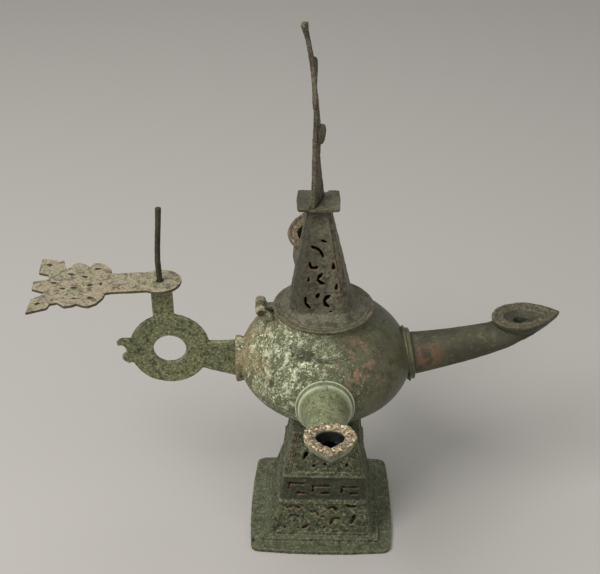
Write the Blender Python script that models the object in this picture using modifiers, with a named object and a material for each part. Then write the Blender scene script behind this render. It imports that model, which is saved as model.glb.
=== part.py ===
"""Three-nozzle oil lamp in cast bronze, after a medieval type.

A round bowl stands on a hollow, pierced, square stand. Three nozzles and a flat ring handle
spring from the bowl. A hinged lid carries a hollow pierced spire with a flat finial, and a
pierced thumb plate with the stump of a wire lies on the handle.

Metres, +Z up, +X from the handle to the side nozzle. The origin is under the middle of the
object's box, on the surface that it stands on.
"""

import math

import bmesh
import bpy
from mathutils import Matrix, Vector

# Clearance between pieces that touch, and the distance that counts as none
GAP = 0.0003
WELD = 0.000001

# Bowl: widest radius and its height, which lifts everything above it, and the half heights
BOWL_RADIUS = 0.0472
BOWL_MIDDLE = 0.1092
BOWL_RISE = 0.0368
BOWL_DROP = 0.0335
BOWL_FULLNESS_UP = 1.78
BOWL_FULLNESS_DOWN = 1.77
BOWL_WALL = 0.0024
BOWL_SHIFT = 0.0020
BOWL_SIDES = 36
BOWL_STEPS = 6

# Collar round the bowl's mouth, which the lid closes
COLLAR_RADIUS = 0.0262
COLLAR_RISE = 0.0320
COLLAR_TOP = BOWL_MIDDLE + COLLAR_RISE
MOUTH_RADIUS = 0.0222

# Stand: base plate, step and two tiers, each a height and a half width
BASE_HALF = 0.0400
BASE_BULGE = 0.0016
BASE_CORNER = 0.0045
BASE_THICK = 0.0024
STEP_HALF = 0.0336
STEP_HEIGHT = 0.0018
LOWER_HALF = 0.0302
LOWER_TOP = 0.0262
LOWER_TOP_HALF = 0.0252
BAND_HALF = 0.0246
BAND_TOP = 0.0425
BAND_TOP_HALF = 0.0230
UPPER_HALF = 0.0225
UPPER_TOP = 0.0700
UPPER_TOP_HALF = 0.0186
LEDGE = 0.0006
STAND_CORNER = 0.0016
STAND_WALL = 0.0021
STAND_TURN = -4.0
STAND_SHIFT = 0.0008
STAND_LEAN = 2.0
NECK_RADIUS = 0.0162
NECK_HOLE = 0.0115
NECK_FOOT = 0.0712
PANEL_DEPTH = 0.0007
PANEL_BORDER = 0.0036

# Faces of the stand and spire, by quarter turns from the front, that have all of their openings
SEEN_FACES = (0, 3)

# Nozzles: reach of each mouth's heel, its rise over the bowl's middle, and the mouth's length
SIDE_REACH = 0.0926
SIDE_RISE = 0.0230
SIDE_LENGTH = 0.0369
FRONT_REACH = 0.0860
FRONT_RISE = 0.0222
FRONT_LENGTH = 0.0290
BACK_REACH = 0.0850
BACK_RISE = 0.0203
BACK_LENGTH = 0.0345

# Each nozzle's turn about the axis, the heel's reach and height, the length and the mouth's slope
NOZZLES = {
    "side": (0.0, SIDE_REACH, BOWL_MIDDLE + SIDE_RISE, SIDE_LENGTH, 4.5),
    "front": (-91.3, FRONT_REACH, BOWL_MIDDLE + FRONT_RISE, FRONT_LENGTH, 9.0),
    "back": (91.3, BACK_REACH, BOWL_MIDDLE + BACK_RISE, BACK_LENGTH, 14.0),
}
NOZZLE_ROOT = 0.0380
NOZZLE_ROOT_DROP = 0.0007
NOZZLE_ROOT_HEIGHT = BOWL_MIDDLE - NOZZLE_ROOT_DROP
NOZZLE_ROOT_RADIUS = 0.0126
NOZZLE_TIP_RADIUS = 0.0088
NOZZLE_WALL = 0.0022
NOZZLE_SIDES = 16
RING_OUT = 0.0500
RING_WIDTH = 0.0026
RING_PROUD = 0.0015
RING_TILT = 7.5
MOUTH_HALF = 0.0127
MOUTH_PEAK_SHARE = 0.42
MOUTH_DEPTH = 0.0048
MOUTH_SIDES = 18
WICK_SHARE = 0.50
WICK_DEPTH = 0.0060

# Handle: a flat plate with a finger ring, a bar to the bowl and an upright
HANDLE_THICK = 0.0024
FINGER_RADIUS = 0.0089
FINGER_REACH = 0.0827
FINGER_RISE = 0.0081
FINGER_HEIGHT = BOWL_MIDDLE + FINGER_RISE
HANDLE_RADIUS = 0.0218
BAR_END = 0.0457
BAR_RISE = 0.0038
BAR_TOP = FINGER_HEIGHT + BAR_RISE
BAR_DROP_RING = 0.0130
BAR_DROP_BOWL = 0.0193
BAR_BOTTOM_RING = FINGER_HEIGHT - BAR_DROP_RING
BAR_BOTTOM_BOWL = FINGER_HEIGHT - BAR_DROP_BOWL
UPRIGHT_WIDTH = 0.0112
UPRIGHT_REACH = 0.0848
UPRIGHT_RISE = 0.0413
PLATE_UNDER = FINGER_HEIGHT + UPRIGHT_RISE
SOCKET_OUT = 0.0470
SOCKET_RADIUS = 0.0128
SOCKET_HEIGHT = (BAR_TOP + BAR_BOTTOM_BOWL) / 2
SOCKET_WIDTH = 0.0050

# Thumb plate: disc, neck and leaf
PLATE_THICK = 0.0018
DISC_RADIUS = 0.0113
DISC_REACH = 0.0853
PLATE_REACH = 0.1516
PLATE_NECK_HALF = 0.0093
LEAF_START = 0.0265
LEAF_HALF = 0.0240

# Wire that stands in the thumb plate, broken off at its top
WIRE_RADIUS = 0.0017
WIRE_LENGTH = 0.0444
WIRE_TOP = PLATE_UNDER + WIRE_LENGTH

# Lid: disc, spire and the plate on its top
LID_RADIUS = 0.0271
LID_SHIFT = 0.0008
LID_UNDER = COLLAR_TOP + GAP
LID_EDGE = 0.0014
LID_RISE = 0.0026
LID_TURN = -3.5
SPIRE_LEAN = 1.7
SPIRE_SHIFT = -0.0006
SPIRE_FOOT_HALF = 0.0163
SPIRE_FOOT_RISE = 0.0060
SPIRE_FOOT = LID_UNDER + SPIRE_FOOT_RISE
SPIRE_TOP_HALF = 0.0056
SPIRE_LENGTH = 0.0568
SPIRE_TOP = SPIRE_FOOT + SPIRE_LENGTH
SPIRE_WALL = 0.0016
SPIRE_CHAMFER_SHARE = 0.26
FLARE_HALF = 0.0195
CAP_HALF = 0.0107
CAP_THICK = 0.0017
CAP_CORNER = 0.0014
CAP_BULGE = 0.0005

# Finial: a flat plate set in a slot across the spire's cap
FINIAL_THICK = 0.0022
FINIAL_TURN = 21.5
FINIAL_LENGTH = 0.0937
FINIAL_TOP = SPIRE_TOP + FINIAL_LENGTH
FINIAL_HALF = 0.0098
FINIAL_STRAIGHT = 0.0477
FINIAL_BEND_AT = SPIRE_TOP + FINIAL_STRAIGHT
FINIAL_LEAN = 0.0068
FINIAL_FOLDS = 4
SLOT_DEPTH = 0.0009
BOSS_RADIUS = 0.0050
BOSS_PROUD = 0.0014
BOSS_BACK = -0.0015
BOSS_RISE = 0.0382
BOSS_HEIGHT = SPIRE_TOP + BOSS_RISE

# Hinge between bowl and lid, on the handle's side
HINGE_REACH = 0.0328
HINGE_RISE = 0.0015
HINGE_HEIGHT = LID_UNDER + HINGE_RISE
BARREL_RADIUS = 0.0029
BARREL_LENGTH = 0.0128
KNUCKLE_WIDTH = 0.0044
HINGE_PIN_RADIUS = 0.0011
PIN_HEAD_RADIUS = 0.0019
PIN_HEAD_WIDTH = 0.0010
TONGUE_THICK = 0.0020

# The axis stands off the middle of the object's box, because the handle reaches further
TIPS = {name: size[1] + size[3] * math.cos(math.radians(size[4])) for name, size in NOZZLES.items()}
AXIS_X = (PLATE_REACH - TIPS["side"]) / 2
AXIS_Y = (TIPS["front"] - TIPS["back"]) / 2

BRONZE_GREEN = (0.115, 0.135, 0.085)
BRONZE_DARK = (0.060, 0.065, 0.042)
BRONZE_BROWN = (0.120, 0.100, 0.070)
BRONZE_BUFF = (0.330, 0.290, 0.210)


# Scene and materials

def clear_scene():
    for old in list(bpy.data.objects):
        bpy.data.objects.remove(old)


def make_collection(name, helper=False):
    collection = bpy.data.collections.new(name)
    collection.hide_render = helper
    bpy.context.scene.collection.children.link(collection)
    return collection


def make_material(name, colour, roughness, metallic):
    material = bpy.data.materials.new(name)
    material.use_nodes = True
    shader = material.node_tree.nodes["Principled BSDF"]
    shader.inputs["Base Color"].default_value = (*colour, 1.0)
    shader.inputs["Roughness"].default_value = roughness
    shader.inputs["Metallic"].default_value = metallic
    return material


def make_empty(name, location, parent=None):
    empty = bpy.data.objects.new(name, None)
    empty.location = location
    empty.parent = parent
    bpy.context.scene.collection.objects.link(empty)
    return empty


class Workshop:
    """The two collections, and the empties that the pieces hang on."""

    def __init__(self):
        self.pieces = make_collection("three_nozzle_oil_lamp")
        self.helpers = make_collection("cutters", helper=True)
        self.axis = make_empty("lamp_axis", (AXIS_X, AXIS_Y, 0))
        self.hinge = make_empty("lid_hinge_axis", (-HINGE_REACH, 0, HINGE_HEIGHT), self.axis)

    def add(self, name, mesh, material=None, on_lid=False):
        """A piece where a material is given, else a helper. Both are drawn about the lamp's axis."""
        obj = bpy.data.objects.new(name, mesh)
        obj.parent = self.hinge if on_lid else self.axis
        if on_lid:
            obj.location = -self.hinge.location
        if material:
            mesh.materials.append(material)
            self.pieces.objects.link(obj)
        else:
            obj.hide_render = True
            obj.display_type = "WIRE"
            self.helpers.objects.link(obj)
        return obj


def boolean(target, tool, operation):
    modifier = target.modifiers.new(tool.name, "BOOLEAN")
    modifier.object = tool
    modifier.operation = operation
    modifier.solver = "EXACT"


# Meshes

def finish_mesh(bm, name):
    bmesh.ops.recalc_face_normals(bm, faces=bm.faces[:])
    mesh = bpy.data.meshes.new(name)
    bm.to_mesh(mesh)
    bm.free()
    return mesh


def add_loft(bm, rings):
    """A closed body through rings of as many points each, capped at both ends."""
    loops = [[bm.verts.new(point) for point in ring] for ring in rings]
    for low, high in zip(loops, loops[1:]):
        for i in range(len(low)):
            j = (i + 1) % len(low)
            bm.faces.new((low[i], low[j], high[j], high[i]))
    bm.faces.new(loops[0][::-1])
    bm.faces.new(loops[-1])


def loft(name, rings):
    bm = bmesh.new()
    add_loft(bm, rings)
    return finish_mesh(bm, name)


def mesh_of(guide):
    """The closed mesh that a curve or a modifier makes of a guide object, which is then removed."""
    bpy.context.scene.collection.objects.link(guide)
    graph = bpy.context.evaluated_depsgraph_get()
    mesh = bpy.data.meshes.new_from_object(guide.evaluated_get(graph))
    name = guide.name
    bpy.data.objects.remove(guide)
    bm = bmesh.new()
    bm.from_mesh(mesh)
    bpy.data.meshes.remove(mesh)
    bmesh.ops.remove_doubles(bm, verts=bm.verts[:], dist=WELD)
    return finish_mesh(bm, name)


def turned(name, profile, sides):
    """A solid of revolution from radius and height pairs that run from the top to the bottom."""
    points = [(0, profile[0][1]), *profile, (0, profile[-1][1])]
    mesh = bpy.data.meshes.new(name)
    mesh.from_pydata([(r, 0, z) for r, z in points], [(i, i + 1) for i in range(len(points) - 1)], [])
    guide = bpy.data.objects.new(name, mesh)
    screw = guide.modifiers.new("turn", "SCREW")
    screw.steps = sides
    screw.render_steps = sides
    screw.use_merge_vertices = True
    screw.merge_threshold = WELD
    return mesh_of(guide)


def rod(name, low, high, radius, sides=12):
    """A round rod along the hinge's axis, between two places across it."""
    bm = bmesh.new()
    place = Matrix.Translation((-HINGE_REACH, (low + high) / 2, HINGE_HEIGHT))
    place = place @ Matrix.Rotation(math.pi / 2, 4, "X")
    bmesh.ops.create_cone(
        bm, cap_ends=True, segments=sides, radius1=radius, radius2=radius, depth=high - low, matrix=place)
    return finish_mesh(bm, name)


def turns(count, start=0.0):
    return [start + 2 * math.pi * i / count for i in range(count)]


def prisms(name, outlines, low, high, frame):
    """One mesh of separate prisms, each an outline in the frame's XY between two heights on its Z."""
    bm = bmesh.new()
    for outline in outlines:
        add_loft(bm, [[frame @ Vector((x, y, z)) for x, y in outline] for z in (low, high)])
    return finish_mesh(bm, name)


def join_meshes(name, meshes):
    bm = bmesh.new()
    for mesh in meshes:
        bm.from_mesh(mesh)
        bpy.data.meshes.remove(mesh)
    mesh = bpy.data.meshes.new(name)
    bm.to_mesh(mesh)
    bm.free()
    return mesh


def flat_plate(name, splines, thick, frame):
    """A plate from a 2D curve: its first outline is the edge and the others are openings."""
    curve = bpy.data.curves.new(name, "CURVE")
    curve.dimensions = "2D"
    curve.fill_mode = "BOTH"
    curve.extrude = thick / 2
    for outline in splines:
        spline = curve.splines.new("POLY")
        spline.points.add(len(outline) - 1)
        spline.use_cyclic_u = True
        for point, (x, y) in zip(spline.points, outline):
            point.co = (x, y, 0, 1)
    mesh = mesh_of(bpy.data.objects.new(name, curve))
    mesh.transform(frame)
    return mesh


# Flat shapes

def arc(x, y, radius, start, end, steps):
    """Points along an arc, with its angles in degrees."""
    points = []
    for i in range(steps + 1):
        angle = math.radians(start + (end - start) * i / steps)
        points.append((x + radius * math.cos(angle), y + radius * math.sin(angle)))
    return points


def moved(outline, x, y, turn):
    cos, sin = math.cos(math.radians(turn)), math.sin(math.radians(turn))
    return [(x + px * cos - py * sin, y + px * sin + py * cos) for px, py in outline]


def drop(length, width):
    """A teardrop along +X, pointed at its far end."""
    half = width / 2
    return arc(-length / 2 + half, 0, half, 60, 300, 3) + [(length / 2, 0)]


def bar(length, width):
    x, y = length / 2, width / 2
    return [(-x, -y), (x, -y), (x, y), (-x, y)]


def crescent(radius, width, sweep):
    """A curled opening: an arc that is widest in its middle and narrow at its ends."""
    outer = arc(0, 0, radius + width / 2, -sweep / 2, sweep / 2, 4)
    inner = arc(width * 0.3, 0, radius - width / 2, sweep / 2, -sweep / 2, 2)
    return outer + inner


def hook(length, height, width):
    """A bar with a short leg down from its left end, as in the key pattern of the stand's band."""
    return [(0, 0), (length, 0), (length, -width), (width, -width), (width, -height), (0, -height)]


def rounded_square(half, corner, bulge=0.0, steps=3, side_steps=4):
    """A square whose sides swell by the bulge and whose corners are rounded."""
    points = []
    for quarter in range(4):
        side = []
        for i in range(1, side_steps):
            along = (half - corner) * (2 * i / side_steps - 1)
            side.append((half + bulge * (1 - (along / half) ** 2), along))
        side += arc(half - corner, half - corner, corner, 0, 90, steps)
        points += moved(side, 0, 0, 90 * quarter)
    return points


def chamfered_square(half, share):
    """Eight corners: a square with its corners cut by this share of its half width."""
    cut = half * share
    points = []
    for quarter in range(4):
        points += moved([(half, -half + cut), (half, half - cut)], 0, 0, 90 * quarter)
    return points


def at_height(outline, height):
    return [Vector((x, y, height)) for x, y in outline]


# Stand

def half_at(height):
    """The stand's outer half width at a height on one of its two sloping tiers."""
    if height < LOWER_TOP:
        low, high, foot, top = BASE_THICK + STEP_HEIGHT, LOWER_TOP, LOWER_HALF, LOWER_TOP_HALF
    elif height < BAND_TOP:
        low, high, foot, top = LOWER_TOP, BAND_TOP - 2 * LEDGE, BAND_HALF, BAND_TOP_HALF
    else:
        low, high, foot, top = BAND_TOP, UPPER_TOP, UPPER_HALF, UPPER_TOP_HALF
    return foot + (top - foot) * (height - low) / (high - low)


def stand_rings(inset):
    """The tiers' sections, drawn in by the wall for the hollow."""
    corner = STAND_CORNER
    levels = [
        (BASE_THICK + STEP_HEIGHT, LOWER_HALF),
        (LOWER_TOP - LEDGE, LOWER_TOP_HALF),
        (LOWER_TOP, BAND_HALF),
        (BAND_TOP - 2 * LEDGE, BAND_TOP_HALF),
        (BAND_TOP - LEDGE, BAND_TOP_HALF + (0 if inset else LEDGE)),
        (BAND_TOP, UPPER_HALF),
        (UPPER_TOP, UPPER_TOP_HALF),
    ]
    return [at_height(rounded_square(half - inset, corner, 0, 2, 2), height) for height, half in levels]


def round_ring(radius, height, square):
    """A circle with as many points as the square, each on the square point's bearing."""
    return [Vector((x, y, 0)).normalized() * radius + Vector((0, 0, height)) for x, y in square]


def face_frame(quarter, low, high, inset=0.0):
    """A frame on one sloping face: X across, Y up the slope from its foot, Z out of it."""
    foot = Vector((0, -half_at(low) + inset, low))
    top = Vector((0, -half_at(high) + inset, high))
    up = (top - foot).normalized()
    across = Vector((1, 0, 0))
    out = across.cross(up)
    turn = Matrix.Rotation(math.radians(90 * quarter), 4, "Z")
    place = Matrix((across, up, out)).transposed().to_4x4()
    place.translation = foot
    return turn @ place, (top - foot).length


def lower_openings():
    """The scrolls of the lower tier, in metres from the middle of the face's foot."""
    mm = 0.001
    shapes = (
        (crescent(6.5 * mm, 2.2 * mm, 72), -16.3, 11.6, 90),
        (crescent(3.2 * mm, 1.8 * mm, 120), 5.6, 14.6, 80),
        (crescent(4.6 * mm, 1.5 * mm, 75), 17.0, 23.0, -95),
        (crescent(3.4 * mm, 1.3 * mm, 110), -15.8, 9.0, 90),
        (drop(3.4 * mm, 1.4 * mm), 0.2, 11.8, 160),
        (crescent(3.2 * mm, 1.9 * mm, 150), 8.7, 7.6, 125),
        (drop(7.8 * mm, 3.0 * mm), 18.0, 9.7, 250),
        (drop(5.6 * mm, 2.1 * mm), -8.6, 5.4, 32),
        (drop(2.4 * mm, 1.2 * mm), -20.6, 4.6, 20),
        (drop(2.2 * mm, 1.2 * mm), -13.4, 4.2, 200),
        (crescent(3.0 * mm, 1.2 * mm, 120), -5.0, 12.0, 60),
        (drop(2.6 * mm, 1.4 * mm), 2.0, 5.0, 80),
    )
    return [moved(outline, x * mm, y * mm, turn) for outline, x, y, turn in shapes]


def band_openings():
    """Three units of a long bar with a leg, and a short bar under its far end."""
    mm = 0.001
    outlines = []
    for start, top, length in ((-20.1, 11.6, 9.4), (-6.4, 10.2, 9.8), (10.0, 9.6, 10.4)):
        outlines.append(moved(hook(length * mm, 4.6 * mm, 1.2 * mm), start * mm, top * mm, 0))
        outlines.append(moved(bar(4.6 * mm, 1.3 * mm), (start + 7.6) * mm, 4.6 * mm, 0))
    return outlines


def upper_openings():
    mm = 0.001
    shapes = (
        (drop(7.6 * mm, 2.6 * mm), -11.3, 11.6, 248),
        (drop(3.4 * mm, 1.7 * mm), -5.3, 6.0, 10),
        (drop(3.4 * mm, 1.6 * mm), 0.6, 6.6, 318),
        (drop(3.6 * mm, 1.7 * mm), 12.7, 7.0, 80),
        (crescent(3.0 * mm, 1.5 * mm, 140), 6.6, 12.4, 100),
        (crescent(3.2 * mm, 1.5 * mm, 140), -3.6, 16.4, 80),
        (drop(4.4 * mm, 1.8 * mm), 11.0, 18.2, 115),
        (drop(4.4 * mm, 1.8 * mm), -10.6, 22.2, 60),
        (crescent(3.0 * mm, 1.4 * mm, 140), 3.4, 22.4, 120),
    )
    return [moved(outline, x * mm, y * mm, turn) for outline, x, y, turn in shapes]


def face_panel(quarter, low, high):
    """The shallow recess between a face's corner posts."""
    frame, length = face_frame(quarter, low, high)
    foot, top = half_at(low) - PANEL_BORDER, half_at(high) - PANEL_BORDER
    edge = PANEL_BORDER / 2
    outline = [(-foot, edge), (foot, edge), (top, length - edge), (-top, length - edge)]
    return prisms("panel", [outline], -PANEL_DEPTH, 2 * PANEL_DEPTH, frame)


def stand(shop, material):
    outer = stand_rings(0)
    inner = stand_rings(STAND_WALL)
    square = rounded_square(1, STAND_CORNER, 0, 2, 2)
    outer += [
        round_ring(NECK_RADIUS + LEDGE, NECK_FOOT, square),
        round_ring(NECK_RADIUS, NECK_FOOT + 2 * LEDGE, square),
        round_ring(NECK_RADIUS, neck_top(), square),
    ]
    inner += [
        round_ring(NECK_HOLE, NECK_FOOT, square),
        round_ring(NECK_HOLE, neck_top() + STAND_WALL, square),
    ]
    floor = rounded_square(LOWER_HALF - STAND_WALL, STAND_CORNER, 0, 2, 2)
    inner = [at_height(floor, -STAND_WALL)] + inner
    base = loft("stand", [
        at_height(rounded_square(BASE_HALF, BASE_CORNER, BASE_BULGE), height)
        for height in (0, BASE_THICK)
    ])
    step = loft("step", [
        at_height(rounded_square(STEP_HALF, STAND_CORNER, 0, 2, 2), BASE_THICK / 2),
        at_height(rounded_square(STEP_HALF - LEDGE / 2, STAND_CORNER, 0, 2, 2), BASE_THICK + STEP_HEIGHT),
    ])
    tiers = loft("tiers", [at_height(rounded_square(LOWER_HALF, STAND_CORNER, 0, 2, 2), BASE_THICK)] + outer)
    spans = (
        (BASE_THICK + STEP_HEIGHT, LOWER_TOP - LEDGE, lower_openings),
        (LOWER_TOP, BAND_TOP - 2 * LEDGE, band_openings),
        (BAND_TOP, UPPER_TOP, upper_openings),
    )
    panels, holes = [], []
    for quarter in range(4):
        for low, high, openings in spans:
            if openings is not band_openings:
                panels.append(face_panel(quarter, low, high))
            frame, _ = face_frame(quarter, low, high)
            shapes = openings() if quarter in SEEN_FACES else openings()[::2]
            holes.append(prisms("hole", shapes, -2 * STAND_WALL, STAND_WALL, frame))
    turn = Matrix.Rotation(math.radians(STAND_TURN), 4, "Z")
    turn.translation = Vector((STAND_SHIFT, 0, 0))
    lean = Matrix.Identity(4)
    lean[0][2] = math.tan(math.radians(STAND_LEAN))
    for mesh in [base, step, tiers, *panels, *holes]:
        mesh.transform(lean @ turn)
    obj = shop.add("pedestal", base, material)
    boolean(obj, shop.add("pedestal_step", step), "UNION")
    boolean(obj, shop.add("pedestal_tiers", tiers), "UNION")
    boolean(obj, shop.add("pedestal_panels", join_meshes("panels", panels)), "DIFFERENCE")
    hollow = loft("hollow", inner)
    hollow.transform(lean @ turn)
    boolean(obj, shop.add("pedestal_hollow", hollow), "DIFFERENCE")
    boolean(obj, shop.add("pedestal_holes", join_meshes("holes", holes)), "DIFFERENCE")


# Bowl and nozzles

def bowl_profile(inset=0.0):
    """Radius and height pairs from the collar down to the foot, on two quarter curves."""
    radius = BOWL_RADIUS - inset
    points = []
    for i in range(BOWL_STEPS + 1):
        angle = math.pi / 2 * (1 - i / BOWL_STEPS)
        r = radius * math.cos(angle) ** (2 / BOWL_FULLNESS_UP)
        if r > COLLAR_RADIUS - inset:
            rise = (BOWL_RISE - inset) * math.sin(angle) ** (2 / BOWL_FULLNESS_UP)
            points.append((r, BOWL_MIDDLE + rise))
    for i in range(1, BOWL_STEPS + 1):
        angle = math.pi / 2 * i / BOWL_STEPS
        r = radius * math.cos(angle) ** (2 / BOWL_FULLNESS_DOWN)
        if r > NECK_RADIUS - inset:
            drop_by = (BOWL_DROP - inset) * math.sin(angle) ** (2 / BOWL_FULLNESS_DOWN)
            points.append((r, BOWL_MIDDLE - drop_by))
    return points


def bowl_foot():
    """Height of the bowl's flat underside, where its curve reaches the neck's radius."""
    share = (NECK_RADIUS / BOWL_RADIUS) ** BOWL_FULLNESS_DOWN
    return BOWL_MIDDLE - BOWL_DROP * (1 - share) ** (1 / BOWL_FULLNESS_DOWN)


def neck_top():
    return bowl_foot() - GAP


def collar_foot():
    """Height where the bowl's shoulder meets the collar's radius."""
    share = (COLLAR_RADIUS / BOWL_RADIUS) ** BOWL_FULLNESS_UP
    return BOWL_MIDDLE + BOWL_RISE * (1 - share) ** (1 / BOWL_FULLNESS_UP)


def tube_path(reach, height, share):
    """Middle of a nozzle's tube: it rises in a slight curve from the bowl to the mouth's heel."""
    end = height - MOUTH_DEPTH - NOZZLE_TIP_RADIUS
    along = NOZZLE_ROOT + (reach - NOZZLE_ROOT) * share
    up = NOZZLE_ROOT_HEIGHT + (end - NOZZLE_ROOT_HEIGHT) * (0.55 * share + 0.45 * share ** 2)
    return along, up


def tube_ring(along, up, wide, tall, sides):
    return [Vector((along, wide * math.cos(a), up + tall * math.sin(a))) for a in turns(sides)]


def mouth_outline(length, half, steps):
    """The mouth's pointed oval, from the heel at 0 to the tip at its length."""
    points = []
    for a in turns(steps):
        u = 0.5 - 0.5 * math.cos(a)
        if u < MOUTH_PEAK_SHARE:
            width = math.sqrt(max(0, 1 - ((MOUTH_PEAK_SHARE - u) / MOUTH_PEAK_SHARE) ** 2))
        else:
            width = math.cos(math.pi / 2 * (u - MOUTH_PEAK_SHARE) / (1 - MOUTH_PEAK_SHARE)) ** 0.85
        points.append((u * length, math.copysign(half * width, math.sin(a))))
    return points


def keel_height(height, length, rise, share):
    """Underside of the mouth's hull, which sweeps up from the tube's underside to the tip."""
    start = height - MOUTH_DEPTH - 2 * NOZZLE_TIP_RADIUS
    tip = height + math.tan(math.radians(rise)) * length - 0.42 * MOUTH_DEPTH
    return start + (tip - start) * (0.8 * share + 0.2 * share ** 3)


def nozzle_body(reach, height, length, rise):
    """Tube and keel in one loft, from inside the bowl to just short of the tip."""
    rings = []
    for share in (0, 0.25, 0.5, 0.75, 1):
        along, up = tube_path(reach, height, share)
        size = NOZZLE_ROOT_RADIUS + (NOZZLE_TIP_RADIUS - NOZZLE_ROOT_RADIUS) * share
        rings.append(tube_ring(along, up, size, size, NOZZLE_SIDES))
    slope = math.tan(math.radians(rise))
    for share in (0.25, 0.5, 0.75, 0.93):
        along = share * length
        rim = height + slope * along - MOUTH_DEPTH * 0.45
        low = keel_height(height, length, rise, share)
        wide = MOUTH_HALF * (0.80 - 0.74 * share ** 2.2)
        rings.append(tube_ring(reach + along, (rim + low) / 2, wide, (rim - low) / 2, NOZZLE_SIDES))
    return loft("nozzle", rings)


def mouth_frame(reach, height, rise):
    """A frame at the mouth's heel: X towards the tip along the rim, Z out of the mouth."""
    return Matrix.Translation((reach, 0, height)) @ Matrix.Rotation(-math.radians(rise), 4, "Y")


def scaled_mouth(length, share, depth, sides):
    """The mouth's outline drawn in towards its middle, at a depth under the rim."""
    middle = length * MOUTH_PEAK_SHARE
    points = []
    for u, v in mouth_outline(length, MOUTH_HALF, sides):
        points.append(Vector((middle + (u - middle) * share, v * share, -depth)))
    return points


def nozzle_mouth(reach, height, length, rise):
    """The cup of the mouth, which stands proud of the tube at its heel."""
    frame = mouth_frame(reach, height, rise)
    levels = ((0.60, 1.75), (0.84, 1.15), (0.97, 0.55), (1.0, 0.12), (0.97, 0.0))
    rings = [scaled_mouth(length, share, depth * MOUTH_DEPTH, MOUTH_SIDES) for share, depth in levels]
    return loft("mouth", [[frame @ point for point in ring] for ring in rings])


def tilted_collar(out, up, radius, width, tilt):
    """A raised collar square to a tube that rises by the tilt, with its outer edge rounded off."""
    rings = []
    for step, size in ((-2.6, 0.9), (-0.85, 1.0), (-0.2, 1.0), (0.0, 0.93)):
        lean = math.tan(math.radians(tilt))
        ring = tube_ring(out + step * width, up, radius * size, radius * size, NOZZLE_SIDES)
        rings.append([Vector((p.x - (p.z - up) * lean, p.y, p.z)) for p in ring])
    return loft("collar", rings)


def nozzle_ring():
    """The raised collar round a nozzle's root."""
    _, reach, height, _, _ = NOZZLES["side"]
    _, up = tube_path(reach, height, (RING_OUT - NOZZLE_ROOT) / (reach - NOZZLE_ROOT))
    return tilted_collar(RING_OUT, up, NOZZLE_ROOT_RADIUS + RING_PROUD, RING_WIDTH, RING_TILT)


def nozzle_channel(reach, height, length, rise):
    """The oil way inside a nozzle, from the bowl's hollow to under the mouth."""
    rings = []
    for share in (-0.2, 0.35, 0.7, 0.95):
        along, up = tube_path(reach, height, share)
        size = NOZZLE_ROOT_RADIUS + (NOZZLE_TIP_RADIUS - NOZZLE_ROOT_RADIUS) * share - NOZZLE_WALL
        rings.append(tube_ring(along, up, size, size, NOZZLE_SIDES // 2))
    for share, wide in ((0.14, 0.60), (0.40, 0.42)):
        size = NOZZLE_TIP_RADIUS * wide
        up = keel_height(height, length, rise, share) + NOZZLE_WALL + size
        rings.append(tube_ring(reach + share * length, up, size, size, NOZZLE_SIDES // 2))
    return loft("channel", rings)


def wick_hole(reach, height, length, rise):
    """The opening in the mouth: a shallow funnel and the hole down into the channel."""
    frame = mouth_frame(reach, height, rise)
    levels = (
        (0.72, -0.4), (0.68, 0.0), (WICK_SHARE, 0.25), (WICK_SHARE * 0.84, 1.0), (WICK_SHARE * 0.6, 1.75),
    )
    rings = [scaled_mouth(length, share, depth * WICK_DEPTH, MOUTH_SIDES // 2) for share, depth in levels]
    return loft("wick_hole", [[frame @ point for point in ring] for ring in rings])


def hinge_block(low, high, thick, reach_in):
    """A strap from the bowl or lid out to the barrel, between two places across it."""
    outline = [(-HINGE_REACH, -thick / 2), (-HINGE_REACH + reach_in, -thick / 2),
               (-HINGE_REACH + reach_in, thick / 2), (-HINGE_REACH, thick / 2)]
    return [[Vector((x, y, HINGE_HEIGHT + z)) for x, z in outline] for y in (low, high)]


def knuckle_spans():
    """The two outer knuckles, which belong to the bowl."""
    inner, outer = KNUCKLE_WIDTH / 2 + GAP, BARREL_LENGTH / 2
    return (-outer, -inner), (inner, outer)


def bracket(low, high):
    """The leg under an outer knuckle: it leans from the barrel down and in to the bowl's shoulder."""
    half = BARREL_RADIUS * 0.82
    foot = collar_foot() - BARREL_RADIUS * 0.6
    outline = [
        (-HINGE_REACH - half, HINGE_HEIGHT), (-COLLAR_RADIUS - half * 0.5, foot),
        (-COLLAR_RADIUS + half, foot), (-HINGE_REACH + half, HINGE_HEIGHT),
    ]
    return [[Vector((x, y, z)) for x, z in outline] for y in (low, high)]


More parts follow.
